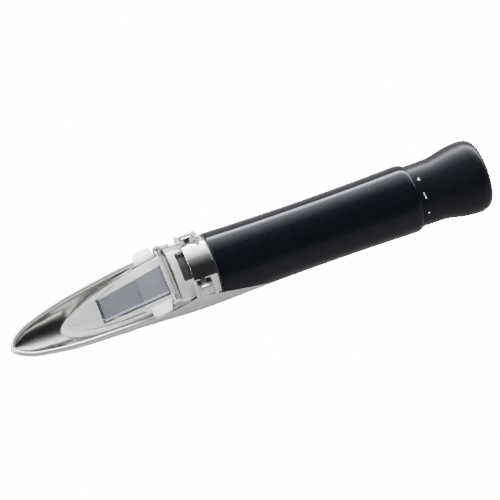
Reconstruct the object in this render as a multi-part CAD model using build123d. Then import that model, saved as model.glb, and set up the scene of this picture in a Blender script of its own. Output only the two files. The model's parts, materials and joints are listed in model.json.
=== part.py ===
from build123d import *

import os
from math import acos, atan2, cos, hypot, radians, sin, tan

# Handheld refractometer for must, wort and juice, in millimetres, +Z up.
# Every piece is built about the optical axis, which is the X axis, with the tip of the scoop
# at x = 0 and the eyecup at the far end. On export the whole instrument is moved so that the
# frame's origin is under its middle, on the surface that it lies on.

# ---------------------------------------------------------------- driving dimensions
# Overall
BODY_RADIUS = 14.7  # shell, strap and both ends of the grip
SCOOP_LENGTH = 67.7  # tip to hinge axis
COLLAR_LENGTH = 19.7  # hinge axis to front of grip
GRIP_LENGTH = 88.2
EYECUP_PROUD = 31.4  # eyecup beyond the grip
EYECUP_FLARE = 1.0  # eyecup's rim beyond the body's radius

# Scoop shell
SHELL_WALL = 1.9
TAIL_WALL = 1.0  # where the shell is let into the grip
TAIL_LENGTH = 54.6  # shell under the grip
KEEL_FLAT = 8.0  # width of the flat that the instrument rests on
KEEL_START = 50.0
KEEL_TAIL = 30.6  # keel's fade-out under the grip
TIP_THICKNESS = 2.0

# Prism and its stage
PRISM_SLOPE = 21.5  # degrees
PRISM_LENGTH = 27.4
PRISM_SETBACK = 1.2  # prism's rear edge to hinge axis
PRISM_FRONT_HALF_WIDTH = 4.8
PRISM_REAR_HALF_WIDTH = 6.3
PRISM_FRONT_DEPTH = 2.4
PRISM_REAR_DEPTH = 11.5
PRISM_REAR_TOP = 7.0  # height of the measuring face's rear edge above the axis
PRISM_PROUD = 1.75  # measuring face above the stage
PRISM_SEAL_THICKNESS = 0.5
PRISM_SEAL_DEPTH = 1.6
STAGE_LENGTH = 46.7  # nose to hinge axis
STAGE_HALF_WIDTH = 10.5
STAGE_LIGHT_BORE = 4.4

# Daylight plate and hinge
PLATE_THICKNESS = 2.0
PLATE_GAP = 0.3  # sample film between prism and plate
PLATE_LENGTH = 42.7
PLATE_HALF_WIDTH = 10.3
TAB_HALF_WIDTH = 14.4
TAB_LENGTH = 7.9
TAB_SETBACK = 2.4  # tab's rear edge to hinge axis
TAB_CORNER = 2.6
HINGE_PIN_RADIUS = 0.8
HINGE_PIN_REACH = 2.6  # how far each pin enters the barrel
HINGE_BARREL_RADIUS = 1.8
HINGE_BARREL_HALF_LENGTH = 11.6
HINGE_LUG_WIDTH = 1.3

# Saddle and strap
SADDLE_WALL = 1.9
SADDLE_SPAN = 75.0  # degrees each side of the top
SADDLE_WINDOW_START = 1.6  # behind the saddle's front edge
SADDLE_WINDOW_LENGTH = 4.0
SADDLE_WINDOW_HALF_WIDTH = 7.5
STRAP_THICKNESS = 0.5
STRAP_WIDTH = 9.8
STRAP_SPAN = 30.5  # degrees each side of the top
STEM_WIDTH = 2.2
HOOK_WIDTH = 5.8
HOOK_START = 42.5
HOOK_END = 55.0
EAR_START = 33.0
EAR_BRIDGE_START = 44.2
EAR_END = 57.0
EAR_CHEEK = 1.4
EAR_HEIGHT = 3.0
EAR_BRIDGE_HEIGHT = 2.1
EAR_WIDTH = 9.1
EAR_SETBACK = 1.8  # ear's rear cheek to the saddle's rear edge

# Neck, barrel and grip
NECK_WALL = 2.6
NECK_SPIGOT_LENGTH = 6.6
BARREL_WALL = 1.4
GRIP_WAIST_DEPTH = 0.75  # below the body's radius
GRIP_REAR_DEPTH = 0.1
GRIP_LIP = 3.6  # rounded rear edge
GRIP_MOUTH_DEPTH = 9.6
FRONT_SEAL_THICKNESS = 0.85
GRIP_NUT_THICKNESS = 1.9
THREAD_DEPTH = 0.3

# Objective, its calibration slide and the temperature strip
CARRIAGE_SETBACK = 12.7  # front of grip to the calibration screw
CARRIAGE_LENGTH = 7.4
CARRIAGE_HALF_WIDTH = 8.0
CARRIAGE_SHIFT = 0.5  # each way
STRIP_LIFT = 0.4  # strip above the objective's cell
CARRIAGE_APERTURE = 4.6
CARRIAGE_FOOT = 1.9
GUIDE_FLANGE = 1.6
CALIBRATION_SCREW_RADIUS = 1.5
CALIBRATION_HEAD_RADIUS = 2.4
CALIBRATION_HEAD_HEIGHT = 1.4
CALIBRATION_TIP = 5.6  # screw's end below the axis
SCREW_SLOT = 0.6
STRIP_LENGTH = 23.5
STRIP_WIDTH = 7.0
STRIP_THICKNESS = 0.6
STRIP_SCREW_RADIUS = 0.5
STRIP_SCREW_SPACING = 4.0
OBJECTIVE_RADIUS = 5.15
OBJECTIVE_THICKNESS = 2.9
CELL_WALL = 0.85
CELL_LENGTH = 5.0

# Reticle
RETICLE_SETBACK = 18.6  # reticle holder's front to the rear of the grip
RETICLE_RADIUS = 8.55
RETICLE_THICKNESS = 2.0
HOLDER_LENGTH = 6.0
BAFFLE_APERTURE = 6.5
BAFFLE_THICKNESS = 1.2

# Eyepiece
FOCUS_TRAVEL = 1.5  # each way along the axis
LENS_BARREL_WALL = 1.4
LENS_BARREL_LENGTH = 26.0
FIELD_LENS_THICKNESS = 3.5
EYE_LENS_THICKNESS = 5.0
LENS_SPACER_LENGTH = 11.3
LENS_SPACER_WALL = 1.2
LENS_RIM_SLOPE = 1.6  # steepness of a lens face at its rim
LENS_STOP = 1.5  # how far seats and rings reach over a lens
RETAINER_THICKNESS = 2.0
FOCUS_RING_WALL = 0.62
FOCUS_RING_LENGTH = 25.5
FOCUS_SHOULDER = 1.8
FOCUS_FLANGE = 3.9
CIRCLIP_THICKNESS = 0.9
KEY_RADIUS = 0.9
KEY_SETBACK = 4.0  # key pin to the barrel's rear end
EYECUP_NECK_WALL = 0.55
EYECUP_NECK_ENGAGEMENT = 5.6  # neck inside the grip's mouth
EYECUP_END = 5.5  # length of the rounded end
EYECUP_EDGE = 2.9  # its depth inwards
EYECUP_LIP_WALL = 1.6
EYE_APERTURE = 9.5
EYECUP_BOWL_DEPTH = 10.9
O_RING_SECTION = 0.5

# Shell screws
SHELL_SCREW_RADIUS = 1.0
SHELL_SCREW_HEAD_RADIUS = 1.9
SHELL_SCREW_LENGTH = 6.0
SHELL_SCREW_SPACING = 14.0
SHELL_SCREW_FIRST = 52.0  # tip to the first screw

# Clearances
SEAT_GAP = 0.1  # between pieces that are bolted or bonded together
FIT_GAP = 0.05  # located fits
RUN_GAP = 0.08  # turning and sliding fits, on the radius
SWING_GAP = 0.4  # hinge barrel to what it turns past
RIM_GAP = 0.12  # shell's rim to what is let in above it

# ---------------------------------------------------------------- derived places
HINGE_X = SCOOP_LENGTH
GRIP_FRONT = HINGE_X + COLLAR_LENGTH
GRIP_REAR = GRIP_FRONT + GRIP_LENGTH
OVERALL_LENGTH = GRIP_REAR + EYECUP_PROUD
TAIL_END = GRIP_FRONT + TAIL_LENGTH
GRIP_LIP_START = GRIP_REAR - GRIP_LIP
GRIP_WAIST = (GRIP_FRONT + GRIP_LIP_START) / 2
GRIP_WAIST_RADIUS = BODY_RADIUS - GRIP_WAIST_DEPTH
GRIP_REAR_RADIUS = BODY_RADIUS - GRIP_REAR_DEPTH
EYECUP_RADIUS = BODY_RADIUS + EYECUP_FLARE
REST_HEIGHT = EYECUP_RADIUS
FAR = OVERALL_LENGTH  # longer than any piece, for cutting tools

SHELL_BORE = BODY_RADIUS - SHELL_WALL
SADDLE_RADIUS = BODY_RADIUS - STRAP_THICKNESS
SADDLE_BORE = SADDLE_RADIUS - SADDLE_WALL
NECK_RADIUS = SADDLE_BORE - SEAT_GAP
NECK_BORE = NECK_RADIUS - NECK_WALL
BARREL_RADIUS = NECK_RADIUS
BARREL_BORE = BARREL_RADIUS - BARREL_WALL
GRIP_BORE = BARREL_RADIUS + SEAT_GAP
INSERT_RADIUS = BARREL_BORE - FIT_GAP
THREAD_RADIUS = BARREL_RADIUS - THREAD_DEPTH
FOCUS_BORE = THREAD_RADIUS + RUN_GAP
FOCUS_RING_RADIUS = FOCUS_BORE + FOCUS_RING_WALL
EYECUP_NECK_BORE = FOCUS_RING_RADIUS + FIT_GAP
EYECUP_NECK_RADIUS = EYECUP_NECK_BORE + EYECUP_NECK_WALL
GRIP_MOUTH_BORE = EYECUP_NECK_RADIUS + 3 * RUN_GAP
LENS_BARREL_RADIUS = BARREL_BORE - RUN_GAP
LENS_BORE = LENS_BARREL_RADIUS - LENS_BARREL_WALL
LENS_RADIUS = LENS_BORE - FIT_GAP

PRISM_REAR = HINGE_X - PRISM_SETBACK
PRISM_FRONT = PRISM_REAR - PRISM_LENGTH
STAGE_REAR = HINGE_X + HINGE_BARREL_RADIUS
NECK_FRONT = STAGE_REAR + SEAT_GAP
SADDLE_FRONT = HINGE_X + HINGE_BARREL_RADIUS + SWING_GAP
STRAP_REAR = GRIP_FRONT - FRONT_SEAL_THICKNESS - 2 * SEAT_GAP
SADDLE_REAR = STRAP_REAR
STRAP_FRONT = STRAP_REAR - STRAP_WIDTH
EAR_REAR = SADDLE_REAR - EAR_SETBACK
EAR_FRONT = EAR_REAR - EAR_WIDTH
STEM_MIDDLE = (EAR_FRONT + EAR_REAR) / 2
LUG_INNER = HINGE_BARREL_HALF_LENGTH + SEAT_GAP
LUG_OUTER = LUG_INNER + HINGE_LUG_WIDTH
LUG_RADIUS = HINGE_BARREL_RADIUS

BARREL_FRONT = GRIP_FRONT + FIT_GAP
BARREL_REAR = GRIP_REAR + FOCUS_TRAVEL + 1.0
GRIP_MOUTH = GRIP_REAR - GRIP_MOUTH_DEPTH
CALIBRATION_X = GRIP_FRONT + CARRIAGE_SETBACK
CARRIAGE_FRONT = CALIBRATION_X - CARRIAGE_LENGTH / 2
CARRIAGE_REAR = CALIBRATION_X + CARRIAGE_LENGTH / 2
CARRIAGE_HALF_HEIGHT = OBJECTIVE_RADIUS + CELL_WALL + STRIP_LIFT
STRIP_BOTTOM = CARRIAGE_HALF_HEIGHT + FIT_GAP
RETICLE_HOLDER_FRONT = GRIP_REAR - RETICLE_SETBACK
EYECUP_NECK_FRONT = GRIP_REAR - EYECUP_NECK_ENGAGEMENT
FOCUS_RING_FRONT = EYECUP_NECK_FRONT + SEAT_GAP
FOCUS_RING_REAR = FOCUS_RING_FRONT + FOCUS_RING_LENGTH
FOCUS_SHOULDER_FRONT = BARREL_REAR + FOCUS_TRAVEL + SWING_GAP
FLANGE_FRONT = FOCUS_SHOULDER_FRONT + FOCUS_SHOULDER + FIT_GAP
FLANGE_REAR = FLANGE_FRONT + FOCUS_FLANGE
LENS_BARREL_FRONT = RETICLE_HOLDER_FRONT + HOLDER_LENGTH + FOCUS_TRAVEL + SWING_GAP
KEY_X = BARREL_REAR - KEY_SETBACK

# Outlines as fractions: length along the scoop by body radius.
PLAN_SHAPE = ((0.059, 0.347), (0.118, 0.48), (0.354, 0.728), (0.657, 0.871), (0.93, 0.935), (1.108, 1.02))
RIM_SHAPE = ((0, -0.775), (0.05, -0.63), (0.118, -0.565), (0.354, -0.333), (0.657, -0.024))
RIM_HUMP = ((0.93, 0.222), (1.06, 0.42), (1.137, 0.517))
RIM_TAIL = ((0, 0.37), (0.19, 0.16), (0.56, -0.34), (1, -1.04))  # along the tail instead
UNDERSIDE_SHAPE = ((0, -0.775), (0.15, -0.965), (0.41, -1.05))


# ---------------------------------------------------------------- shape helpers
def tube(start, end, radius, bore=0.0):
    """A tube or rod along the optical axis."""
    middle = Pos((start + end) / 2, 0, 0) * Rot(0, 90, 0)
    solid = middle * Cylinder(radius, end - start)
    if bore > 0:
        solid -= middle * Cylinder(bore, end - start + 2)
    return solid


def upright(x, y, low, high, radius):
    """A rod along Z."""
    return Pos(x, y, (low + high) / 2) * Cylinder(radius, high - low)


def crosswise(x, z, half_length, radius):
    """A rod along Y."""
    return Pos(x, 0, z) * Rot(90, 0, 0) * Cylinder(radius, 2 * half_length)


def block(x, y, z):
    """A box from its three ranges."""
    size = [high - low for low, high in (x, y, z)]
    centre = [(high + low) / 2 for low, high in (x, y, z)]
    return Pos(*centre) * Box(*size)


def turned(edges):
    """A closed outline of x and radius, turned about the optical axis."""
    return revolve(make_face(edges), Axis.X, 360)


def side_cut(edges, half_width=FAR):
    """A closed outline of x and z, extended along Y."""
    return extrude(Plane.XZ * make_face(edges), half_width, both=True)


def plan_cut(face):
    """A plan outline, extended along Z."""
    return extrude(face, FAR, both=True)


def sector(start, end, inner, outer, low, high):
    """A slice of a tube; angles are degrees from the top, positive towards -Y."""

    def at(radius, angle):
        return (-radius * sin(radians(angle)), radius * cos(radians(angle)))

    middle = (low + high) / 2
    edges = [
        ThreePointArc(at(inner, low), at(inner, middle), at(inner, high)),
        Line(at(inner, high), at(outer, high)),
        ThreePointArc(at(outer, high), at(outer, middle), at(outer, low)),
        Line(at(outer, low), at(inner, low)),
    ]
    return extrude(Pos(start, 0, 0) * (Plane.YZ * make_face(edges)), end - start)


def both_sides(solid):
    """A piece of the +Y or -Y side and its mirror image."""
    return solid + mirror(solid, about=Plane.XZ)


def nose_outline(rear, length, half_width, square_rear):
    """Half an ellipse that points to -X, with parallel sides behind it."""
    curve = EllipticalCenterArc((rear, 0), length, half_width, 90, arc_size=180)
    edges = [
        curve,
        Line((rear, -half_width), (square_rear, -half_width)),
        Line((square_rear, -half_width), (square_rear, half_width)),
        Line((square_rear, half_width), (rear, half_width)),
    ]
    return make_face(edges)


def lens(start, end, radius, bulge):
    """A biconvex lens whose faces stand bulge proud of its edge."""
    edge_start = start + bulge
    edge_end = end - bulge
    sag = 0.75 * bulge
    edges = [
        Spline(
            (start, 0),
            (edge_start - sag, radius / 2),
            (edge_start, radius),
            tangents=((0, 1), (1, LENS_RIM_SLOPE)),
        ),
        Line((edge_start, radius), (edge_end, radius)),
        Spline(
            (edge_end, radius),
            (edge_end + sag, radius / 2),
            (end, 0),
            tangents=((1, -LENS_RIM_SLOPE), (0, -1)),
        ),
        Line((end, 0), (start, 0)),
    ]
    return turned(edges)


# ---------------------------------------------------------------- outer profiles
def face_height(x, lift=0.0):
    """Height of the measuring face at x, or of a plane lifted off it along its normal."""
    rise = (x - PRISM_REAR) * tan(radians(PRISM_SLOPE))
    return PRISM_REAR_TOP + rise + lift / cos(radians(PRISM_SLOPE))


def sloped_slab(low_lift, high_lift, front=-FAR / 4, rear=FAR):
    """Everything between two planes parallel to the measuring face."""
    corners = [
        (front, face_height(front, low_lift)),
        (rear, face_height(rear, low_lift)),
        (rear, face_height(rear, high_lift)),
        (front, face_height(front, high_lift)),
    ]
    return side_cut(Polyline(*corners, close=True))


def grip_arc(inset=0.0):
    """The grip's waisted outside, which the shell's tail shares."""
    return ThreePointArc(
        (GRIP_FRONT, BODY_RADIUS - inset),
        (GRIP_WAIST, GRIP_WAIST_RADIUS - inset),
        (GRIP_LIP_START, GRIP_REAR_RADIUS - inset),
    )


def body_envelope(start, inset=0.0):
    """Solid body of revolution inside the shell's and grip's outer surface."""
    radius = BODY_RADIUS - inset
    edges = [
        Line((start, 0), (start, radius)),
        Line((start, radius), (GRIP_FRONT, radius)),
        grip_arc(inset),
        Line((GRIP_LIP_START, GRIP_REAR_RADIUS - inset), (GRIP_LIP_START, 0)),
        Line((GRIP_LIP_START, 0), (start, 0)),
    ]
    return turned(edges)


def below_rim(gap=0.0):
    """Everything under the shell's rim line, raised by a gap."""
    points = [(along * SCOOP_LENGTH, up * BODY_RADIUS + gap) for along, up in RIM_SHAPE + RIM_HUMP]
    points += [(GRIP_FRONT + along * TAIL_LENGTH, up * BODY_RADIUS + gap) for along, up in RIM_TAIL]
    start = (-FAR / 4, points[0][1])
    edges = [
        Spline(*points),
        Line(points[-1], (points[-1][0], -FAR)),
        Line((points[-1][0], -FAR), (start[0], -FAR)),
        Line((start[0], -FAR), start),
        Line(start, points[0]),
    ]
    return side_cut(edges)


def moved_in(points, inset):
    """Points of an open outline, each moved to the right of the way along it."""
    moved = []
    for index, (x, y) in enumerate(points):
        before = points[max(index - 1, 0)]
        after = points[min(index + 1, len(points) - 1)]
        run = hypot(after[0] - before[0], after[1] - before[1])
        moved.append((x + inset * (after[1] - before[1]) / run, y - inset * (after[0] - before[0]) / run))
    return moved


def shell_plan(inset=0.0):
    """Plan outline of the scoop, from the tip back past the grip."""
    half = [(along * SCOOP_LENGTH, out * BODY_RADIUS) for along, out in PLAN_SHAPE]
    mirrored = [(x, -y) for x, y in reversed(half)]
    points = moved_in(mirrored + [(0, 0)] + half, inset)
    rear, width = points[-1]
    edges = [
        Spline(*points),
        Line((rear, width), (FAR, width)),
        Line((FAR, width), (FAR, -width)),
        Line((FAR, -width), (rear, -width)),
    ]
    return make_face(edges)


def above_underside(lift=0.0):
    """Everything over the scoop's swept-up underside, raised by lift."""
    points = [(along * SCOOP_LENGTH, up * BODY_RADIUS + lift) for along, up in UNDERSIDE_SHAPE]
    points[0] = (points[0][0], points[0][1] - TIP_THICKNESS)
    points.append((KEEL_START, -REST_HEIGHT + lift))
    start = points[0]
    end = points[-1]
    edges = [
        Spline(*points, tangents=((0.7, -1), (1, 0))),
        Line(end, (FAR, end[1])),
        Line((FAR, end[1]), (FAR, FAR)),
        Line((FAR, FAR), (start[0] - 1, FAR)),
        Line((start[0] - 1, FAR), (start[0] - 1, start[1])),
        Line((start[0] - 1, start[1]), start),
    ]
    return side_cut(edges)


def keel():
    """Rib with a flat underside, tangent to the round shell, that fades out under the grip."""
    half_flat = KEEL_FLAT / 2
    reach = hypot(half_flat, REST_HEIGHT)
    turn = atan2(half_flat, REST_HEIGHT) + acos(BODY_RADIUS / reach)
    side = BODY_RADIUS * sin(turn)
    top = -BODY_RADIUS * cos(turn)
    corners = ((side, top), (half_flat, -REST_HEIGHT), (-half_flat, -REST_HEIGHT), (-side, top))
    keel_end = GRIP_FRONT + KEEL_TAIL
    section = Plane.YZ * make_face(Polyline(*corners, close=True))
    rib = extrude(section, keel_end)
    fade = (
        (GRIP_FRONT, -REST_HEIGHT),
        (keel_end, top),
        (keel_end + 1, -REST_HEIGHT - 1),
        (GRIP_FRONT, -REST_HEIGHT - 1),
    )
    return rib - side_cut(Polyline(*fade, close=True))


def tail_room():
    """Space that the shell's tail takes out of the grip and seal."""
    outside = tube(STRAP_REAR, TAIL_END + 2, BODY_RADIUS + 2)
    outside -= body_envelope(STRAP_REAR - 1, TAIL_WALL + SEAT_GAP)
    return outside & below_rim(RIM_GAP)


# ---------------------------------------------------------------- scoop, prism and stage
def shell_screw_places():
    return [SHELL_SCREW_FIRST + turn * SHELL_SCREW_SPACING for turn in range(2)]


def scoop_shell():
    solid = body_envelope(-1) + keel()
    solid &= plan_cut(shell_plan())
    solid &= above_underside()
    solid &= below_rim()
    trough = tube(-1, STRAP_REAR, SHELL_BORE)
    trough &= plan_cut(shell_plan(SHELL_WALL))
    trough &= above_underside(SHELL_WALL)
    solid -= trough
    solid -= tube(STAGE_REAR, STRAP_REAR, NECK_RADIUS + SEAT_GAP)
    solid -= body_envelope(STRAP_REAR - 1, TAIL_WALL) & tube(STRAP_REAR, FAR, BODY_RADIUS)
    head_top = -REST_HEIGHT + SHELL_SCREW_HEAD_RADIUS / 2
    for x in shell_screw_places():
        solid -= upright(x, 0, -FAR, 0, SHELL_SCREW_RADIUS + FIT_GAP)
        solid -= upright(x, 0, -FAR, head_top, SHELL_SCREW_HEAD_RADIUS + FIT_GAP)
    solid -= upright(CALIBRATION_X, 0, -FAR, 0, CALIBRATION_HEAD_RADIUS + SEAT_GAP)
    return solid


def shell_screws():
    solids = []
    head_low = -REST_HEIGHT + 0.3
    head_high = -REST_HEIGHT + SHELL_SCREW_HEAD_RADIUS / 2
    for x in shell_screw_places():
        screw = upright(x, 0, head_low, head_high, SHELL_SCREW_HEAD_RADIUS)
        screw += upright(x, 0, head_low, head_low + SHELL_SCREW_LENGTH, SHELL_SCREW_RADIUS)
        slot = SCREW_SLOT / 2
        screw -= block((x - slot, x + slot), (-FAR, FAR), (head_low - 1, head_low + slot))
        solids.append(screw)
    return Compound(children=solids)


def prism_plan(margin=0.0):
    front = PRISM_FRONT - margin
    rear = PRISM_REAR + margin
    narrow = PRISM_FRONT_HALF_WIDTH + margin
    wide = PRISM_REAR_HALF_WIDTH + margin
    return make_face(Polyline((front, -narrow), (rear, -wide), (rear, wide), (front, narrow), close=True))


def prism_side(margin=0.0):
    front = PRISM_FRONT - margin
    rear = PRISM_REAR + margin
    corners = [
        (front, face_height(front)),
        (rear, face_height(rear)),
        (rear, PRISM_REAR_TOP - PRISM_REAR_DEPTH - margin),
        (front, face_height(PRISM_FRONT) - PRISM_FRONT_DEPTH - margin),
    ]
    return side_cut(Polyline(*corners, close=True))


def measuring_prism():
    return plan_cut(prism_plan()) & prism_side()


def prism_seal():
    ring = plan_cut(prism_plan(PRISM_SEAL_THICKNESS)) - plan_cut(prism_plan())
    return ring & sloped_slab(-PRISM_PROUD - PRISM_SEAL_DEPTH, -PRISM_PROUD)


def prism_stage():
    outline = nose_outline(HINGE_X, STAGE_LENGTH, STAGE_HALF_WIDTH, STAGE_REAR)
    solid = plan_cut(outline) & tube(0, STAGE_REAR, SHELL_BORE - FIT_GAP)
    solid &= sloped_slab(-FAR, -PRISM_PROUD)
    solid &= above_underside(SHELL_WALL + FIT_GAP)
    solid -= plan_cut(prism_plan(PRISM_SEAL_THICKNESS)) & sloped_slab(-PRISM_PROUD - PRISM_SEAL_DEPTH, FAR)
    solid -= plan_cut(prism_plan(SEAT_GAP)) & prism_side(SEAT_GAP)
    solid -= tube(PRISM_REAR - 1, STAGE_REAR + 1, STAGE_LIGHT_BORE)
    for x in shell_screw_places():
        solid -= upright(x, 0, -FAR, -REST_HEIGHT + SHELL_SCREW_LENGTH + 1, SHELL_SCREW_RADIUS + FIT_GAP)
    return solid


# ---------------------------------------------------------------- daylight plate and saddle
def hinge_height():
    """The hinge pin lies in the daylight plate's middle plane."""
    return face_height(HINGE_X, PLATE_GAP + PLATE_THICKNESS / 2)


def hinge_pin():
    """Two short pins, one in each lug."""
    inner = HINGE_BARREL_HALF_LENGTH - HINGE_PIN_REACH
    rod = crosswise(HINGE_X, hinge_height(), LUG_OUTER, HINGE_PIN_RADIUS)
    pins = [rod & block((-FAR, FAR), side, (-FAR, FAR)) for side in ((-FAR, -inner), (inner, FAR))]
    return Compound(children=pins)


def daylight_plate():
    sheet = nose_outline(HINGE_X, PLATE_LENGTH, PLATE_HALF_WIDTH, HINGE_X + FIT_GAP)
    tab_rear = HINGE_X - TAB_SETBACK
    tab_middle = tab_rear - TAB_LENGTH / 2
    tabs = Pos(tab_middle, 0) * RectangleRounded(TAB_LENGTH, 2 * TAB_HALF_WIDTH, TAB_CORNER)
    solid = plan_cut(sheet + tabs) & sloped_slab(PLATE_GAP, PLATE_GAP + PLATE_THICKNESS)
    solid += crosswise(HINGE_X, hinge_height(), HINGE_BARREL_HALF_LENGTH, HINGE_BARREL_RADIUS)
    solid -= crosswise(HINGE_X, hinge_height(), FAR, HINGE_PIN_RADIUS + RUN_GAP)
    return solid


def ear(side_start=EAR_START):
    """One frame of the saddle that a strap hook passes through, on the -Y side."""
    root = SADDLE_RADIUS - SADDLE_WALL / 2
    top = SADDLE_RADIUS + EAR_HEIGHT
    solid = sector(EAR_FRONT, EAR_FRONT + EAR_CHEEK, root, top, side_start, EAR_END)
    solid += sector(EAR_REAR - EAR_CHEEK, EAR_REAR, root, top, side_start, EAR_END)
    bridge_top = SADDLE_RADIUS + EAR_BRIDGE_HEIGHT
    solid += sector(EAR_FRONT, EAR_REAR, root, bridge_top, EAR_BRIDGE_START, EAR_END)
    return solid


def hinge_lug():
    """Arm and eye that hold one end of the hinge pin, on the +Y side."""
    z = hinge_height()
    eye = crosswise(HINGE_X, z, LUG_OUTER, LUG_RADIUS)
    arm = block((HINGE_X, SADDLE_FRONT + SADDLE_WINDOW_LENGTH), (-LUG_OUTER, LUG_OUTER), (0, z))
    solid = (eye + arm) & block((-FAR, FAR), (LUG_INNER, LUG_OUTER), (-FAR, FAR))
    return solid - crosswise(HINGE_X, z, FAR, HINGE_PIN_RADIUS)


def hinge_saddle():
    solid = sector(SADDLE_FRONT, SADDLE_REAR, SADDLE_BORE, SADDLE_RADIUS, -SADDLE_SPAN, SADDLE_SPAN)
    window_front = SADDLE_FRONT + SADDLE_WINDOW_START
    window = (window_front, window_front + SADDLE_WINDOW_LENGTH)
    half = SADDLE_WINDOW_HALF_WIDTH
    solid -= block(window, (-half, half), (0, FAR))
    solid += both_sides(hinge_lug())
    hook_window = sector(
        EAR_FRONT + EAR_CHEEK,
        EAR_REAR - EAR_CHEEK,
        SADDLE_BORE - 1,
        SADDLE_RADIUS + 1,
        EAR_START,
        EAR_BRIDGE_START,
    )
    solid -= both_sides(hook_window)
    solid += both_sides(ear())
    solid -= tube(STAGE_REAR, SADDLE_REAR + 1, SADDLE_BORE)
    return solid - below_rim(RIM_GAP)


def strap_hook():
    """Stem that dips through the ear's window and a crossbar that lies on its bridge."""
    low = SADDLE_RADIUS + FIT_GAP / 2
    outer = SADDLE_RADIUS + EAR_BRIDGE_HEIGHT + SEAT_GAP
    stem = (STEM_MIDDLE - STEM_WIDTH / 2, STEM_MIDDLE + STEM_WIDTH / 2)
    solid = sector(*stem, low, BODY_RADIUS, STRAP_SPAN - 1, EAR_BRIDGE_START - 0.6)
    solid += sector(*stem, low, outer + STRAP_THICKNESS, HOOK_START - 0.6, EAR_BRIDGE_START - 0.6)
    bar = (STEM_MIDDLE - HOOK_WIDTH / 2, STEM_MIDDLE + HOOK_WIDTH / 2)
    solid += sector(*bar, outer, outer + STRAP_THICKNESS, HOOK_START, HOOK_END)
    return solid


def strap():
    low = SADDLE_RADIUS + FIT_GAP / 2
    band = sector(STRAP_FRONT, STRAP_REAR, low, BODY_RADIUS, -STRAP_SPAN, STRAP_SPAN)
    return band + both_sides(strap_hook())


# ---------------------------------------------------------------- neck, barrel and grip
def neck():
    solid = tube(NECK_FRONT, GRIP_FRONT, NECK_RADIUS, NECK_BORE)
    return solid + tube(GRIP_FRONT - 1, GRIP_FRONT + NECK_SPIGOT_LENGTH, INSERT_RADIUS, NECK_BORE)


def front_seal():
    start = STRAP_REAR + SEAT_GAP
    radius = SADDLE_RADIUS + STRAP_THICKNESS / 2
    solid = tube(start, start + FRONT_SEAL_THICKNESS, radius, NECK_RADIUS + SEAT_GAP)
    return solid - tail_room()


def grip_sleeve():
    lip_radius = GRIP_MOUTH_BORE + 2 * FIT_GAP
    edges = [
        grip_arc(),
        ThreePointArc(
            (GRIP_LIP_START, GRIP_REAR_RADIUS),
            (GRIP_REAR - 0.3 * GRIP_LIP, GRIP_REAR_RADIUS - 0.32 * (GRIP_REAR_RADIUS - lip_radius)),
            (GRIP_REAR, lip_radius),
        ),
        Polyline(
            (GRIP_REAR, lip_radius),
            (GRIP_REAR, GRIP_MOUTH_BORE),
            (GRIP_MOUTH, GRIP_MOUTH_BORE),
            (GRIP_MOUTH, GRIP_BORE),
            (GRIP_FRONT, GRIP_BORE),
            (GRIP_FRONT, BODY_RADIUS),
        ),
    ]
    solid = turned(edges) - tail_room()
    return solid - upright(CALIBRATION_X, 0, -FAR, 0, CALIBRATION_HEAD_RADIUS + SEAT_GAP)


def inner_barrel():
    solid = tube(BARREL_FRONT, BARREL_REAR, BARREL_RADIUS, BARREL_BORE)
    solid -= tube(GRIP_MOUTH, BARREL_REAR + 1, BARREL_RADIUS + 1, THREAD_RADIUS)
    solid -= upright(CALIBRATION_X, 0, -FAR, 0, CALIBRATION_SCREW_RADIUS + RUN_GAP)
    solid -= upright(KEY_X, 0, 0, FAR, KEY_RADIUS)
    groove_start = KEY_X - 3 * KEY_RADIUS
    groove = tube(
        groove_start - O_RING_SECTION - FIT_GAP,
        groove_start + FIT_GAP,
        THREAD_RADIUS + 1,
        THREAD_RADIUS - O_RING_SECTION,
    )
    return solid - groove


def grip_nut():
    start = GRIP_MOUTH + FIT_GAP
    return tube(start, start + GRIP_NUT_THICKNESS, GRIP_MOUTH_BORE - SEAT_GAP, THREAD_RADIUS + FIT_GAP)


def light_baffle():
    middle = (CARRIAGE_REAR + STRIP_LENGTH + RETICLE_HOLDER_FRONT) / 2
    return tube(middle, middle + BAFFLE_THICKNESS, INSERT_RADIUS, BAFFLE_APERTURE)


# ---------------------------------------------------------------- objective and calibration
def carriage_guide():
    front = CARRIAGE_FRONT - SWING_GAP / 2
    solid = tube(front - GUIDE_FLANGE, front, INSERT_RADIUS, BAFFLE_APERTURE)
    rails = tube(front - GUIDE_FLANGE, CARRIAGE_REAR, INSERT_RADIUS)
    width = CARRIAGE_HALF_WIDTH + RUN_GAP
    rails -= block((-FAR, FAR), (-width, width), (-FAR, FAR))
    return solid + rails


def objective_carriage():
    half = CARRIAGE_HALF_HEIGHT
    width = CARRIAGE_HALF_WIDTH
    solid = block((CARRIAGE_FRONT, CARRIAGE_REAR), (-width, width), (-half, half))
    foot = 2 * CALIBRATION_SCREW_RADIUS
    solid += block((CARRIAGE_FRONT, CARRIAGE_REAR), (-foot, foot), (-half - CARRIAGE_FOOT, -half))
    solid &= tube(CARRIAGE_FRONT, CARRIAGE_REAR, BARREL_BORE - CARRIAGE_SHIFT)
    solid -= tube(CARRIAGE_FRONT - 1, CARRIAGE_REAR + 1, CARRIAGE_APERTURE)
    solid -= upright(CALIBRATION_X, 0, -FAR, 0, CALIBRATION_SCREW_RADIUS + RUN_GAP)
    for y in strip_screw_places():
        solid -= upright(CALIBRATION_X, y, half - 2, FAR, STRIP_SCREW_RADIUS + FIT_GAP)
    return solid


def strip_screw_places():
    return (-STRIP_SCREW_SPACING / 2, STRIP_SCREW_SPACING / 2)


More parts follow.
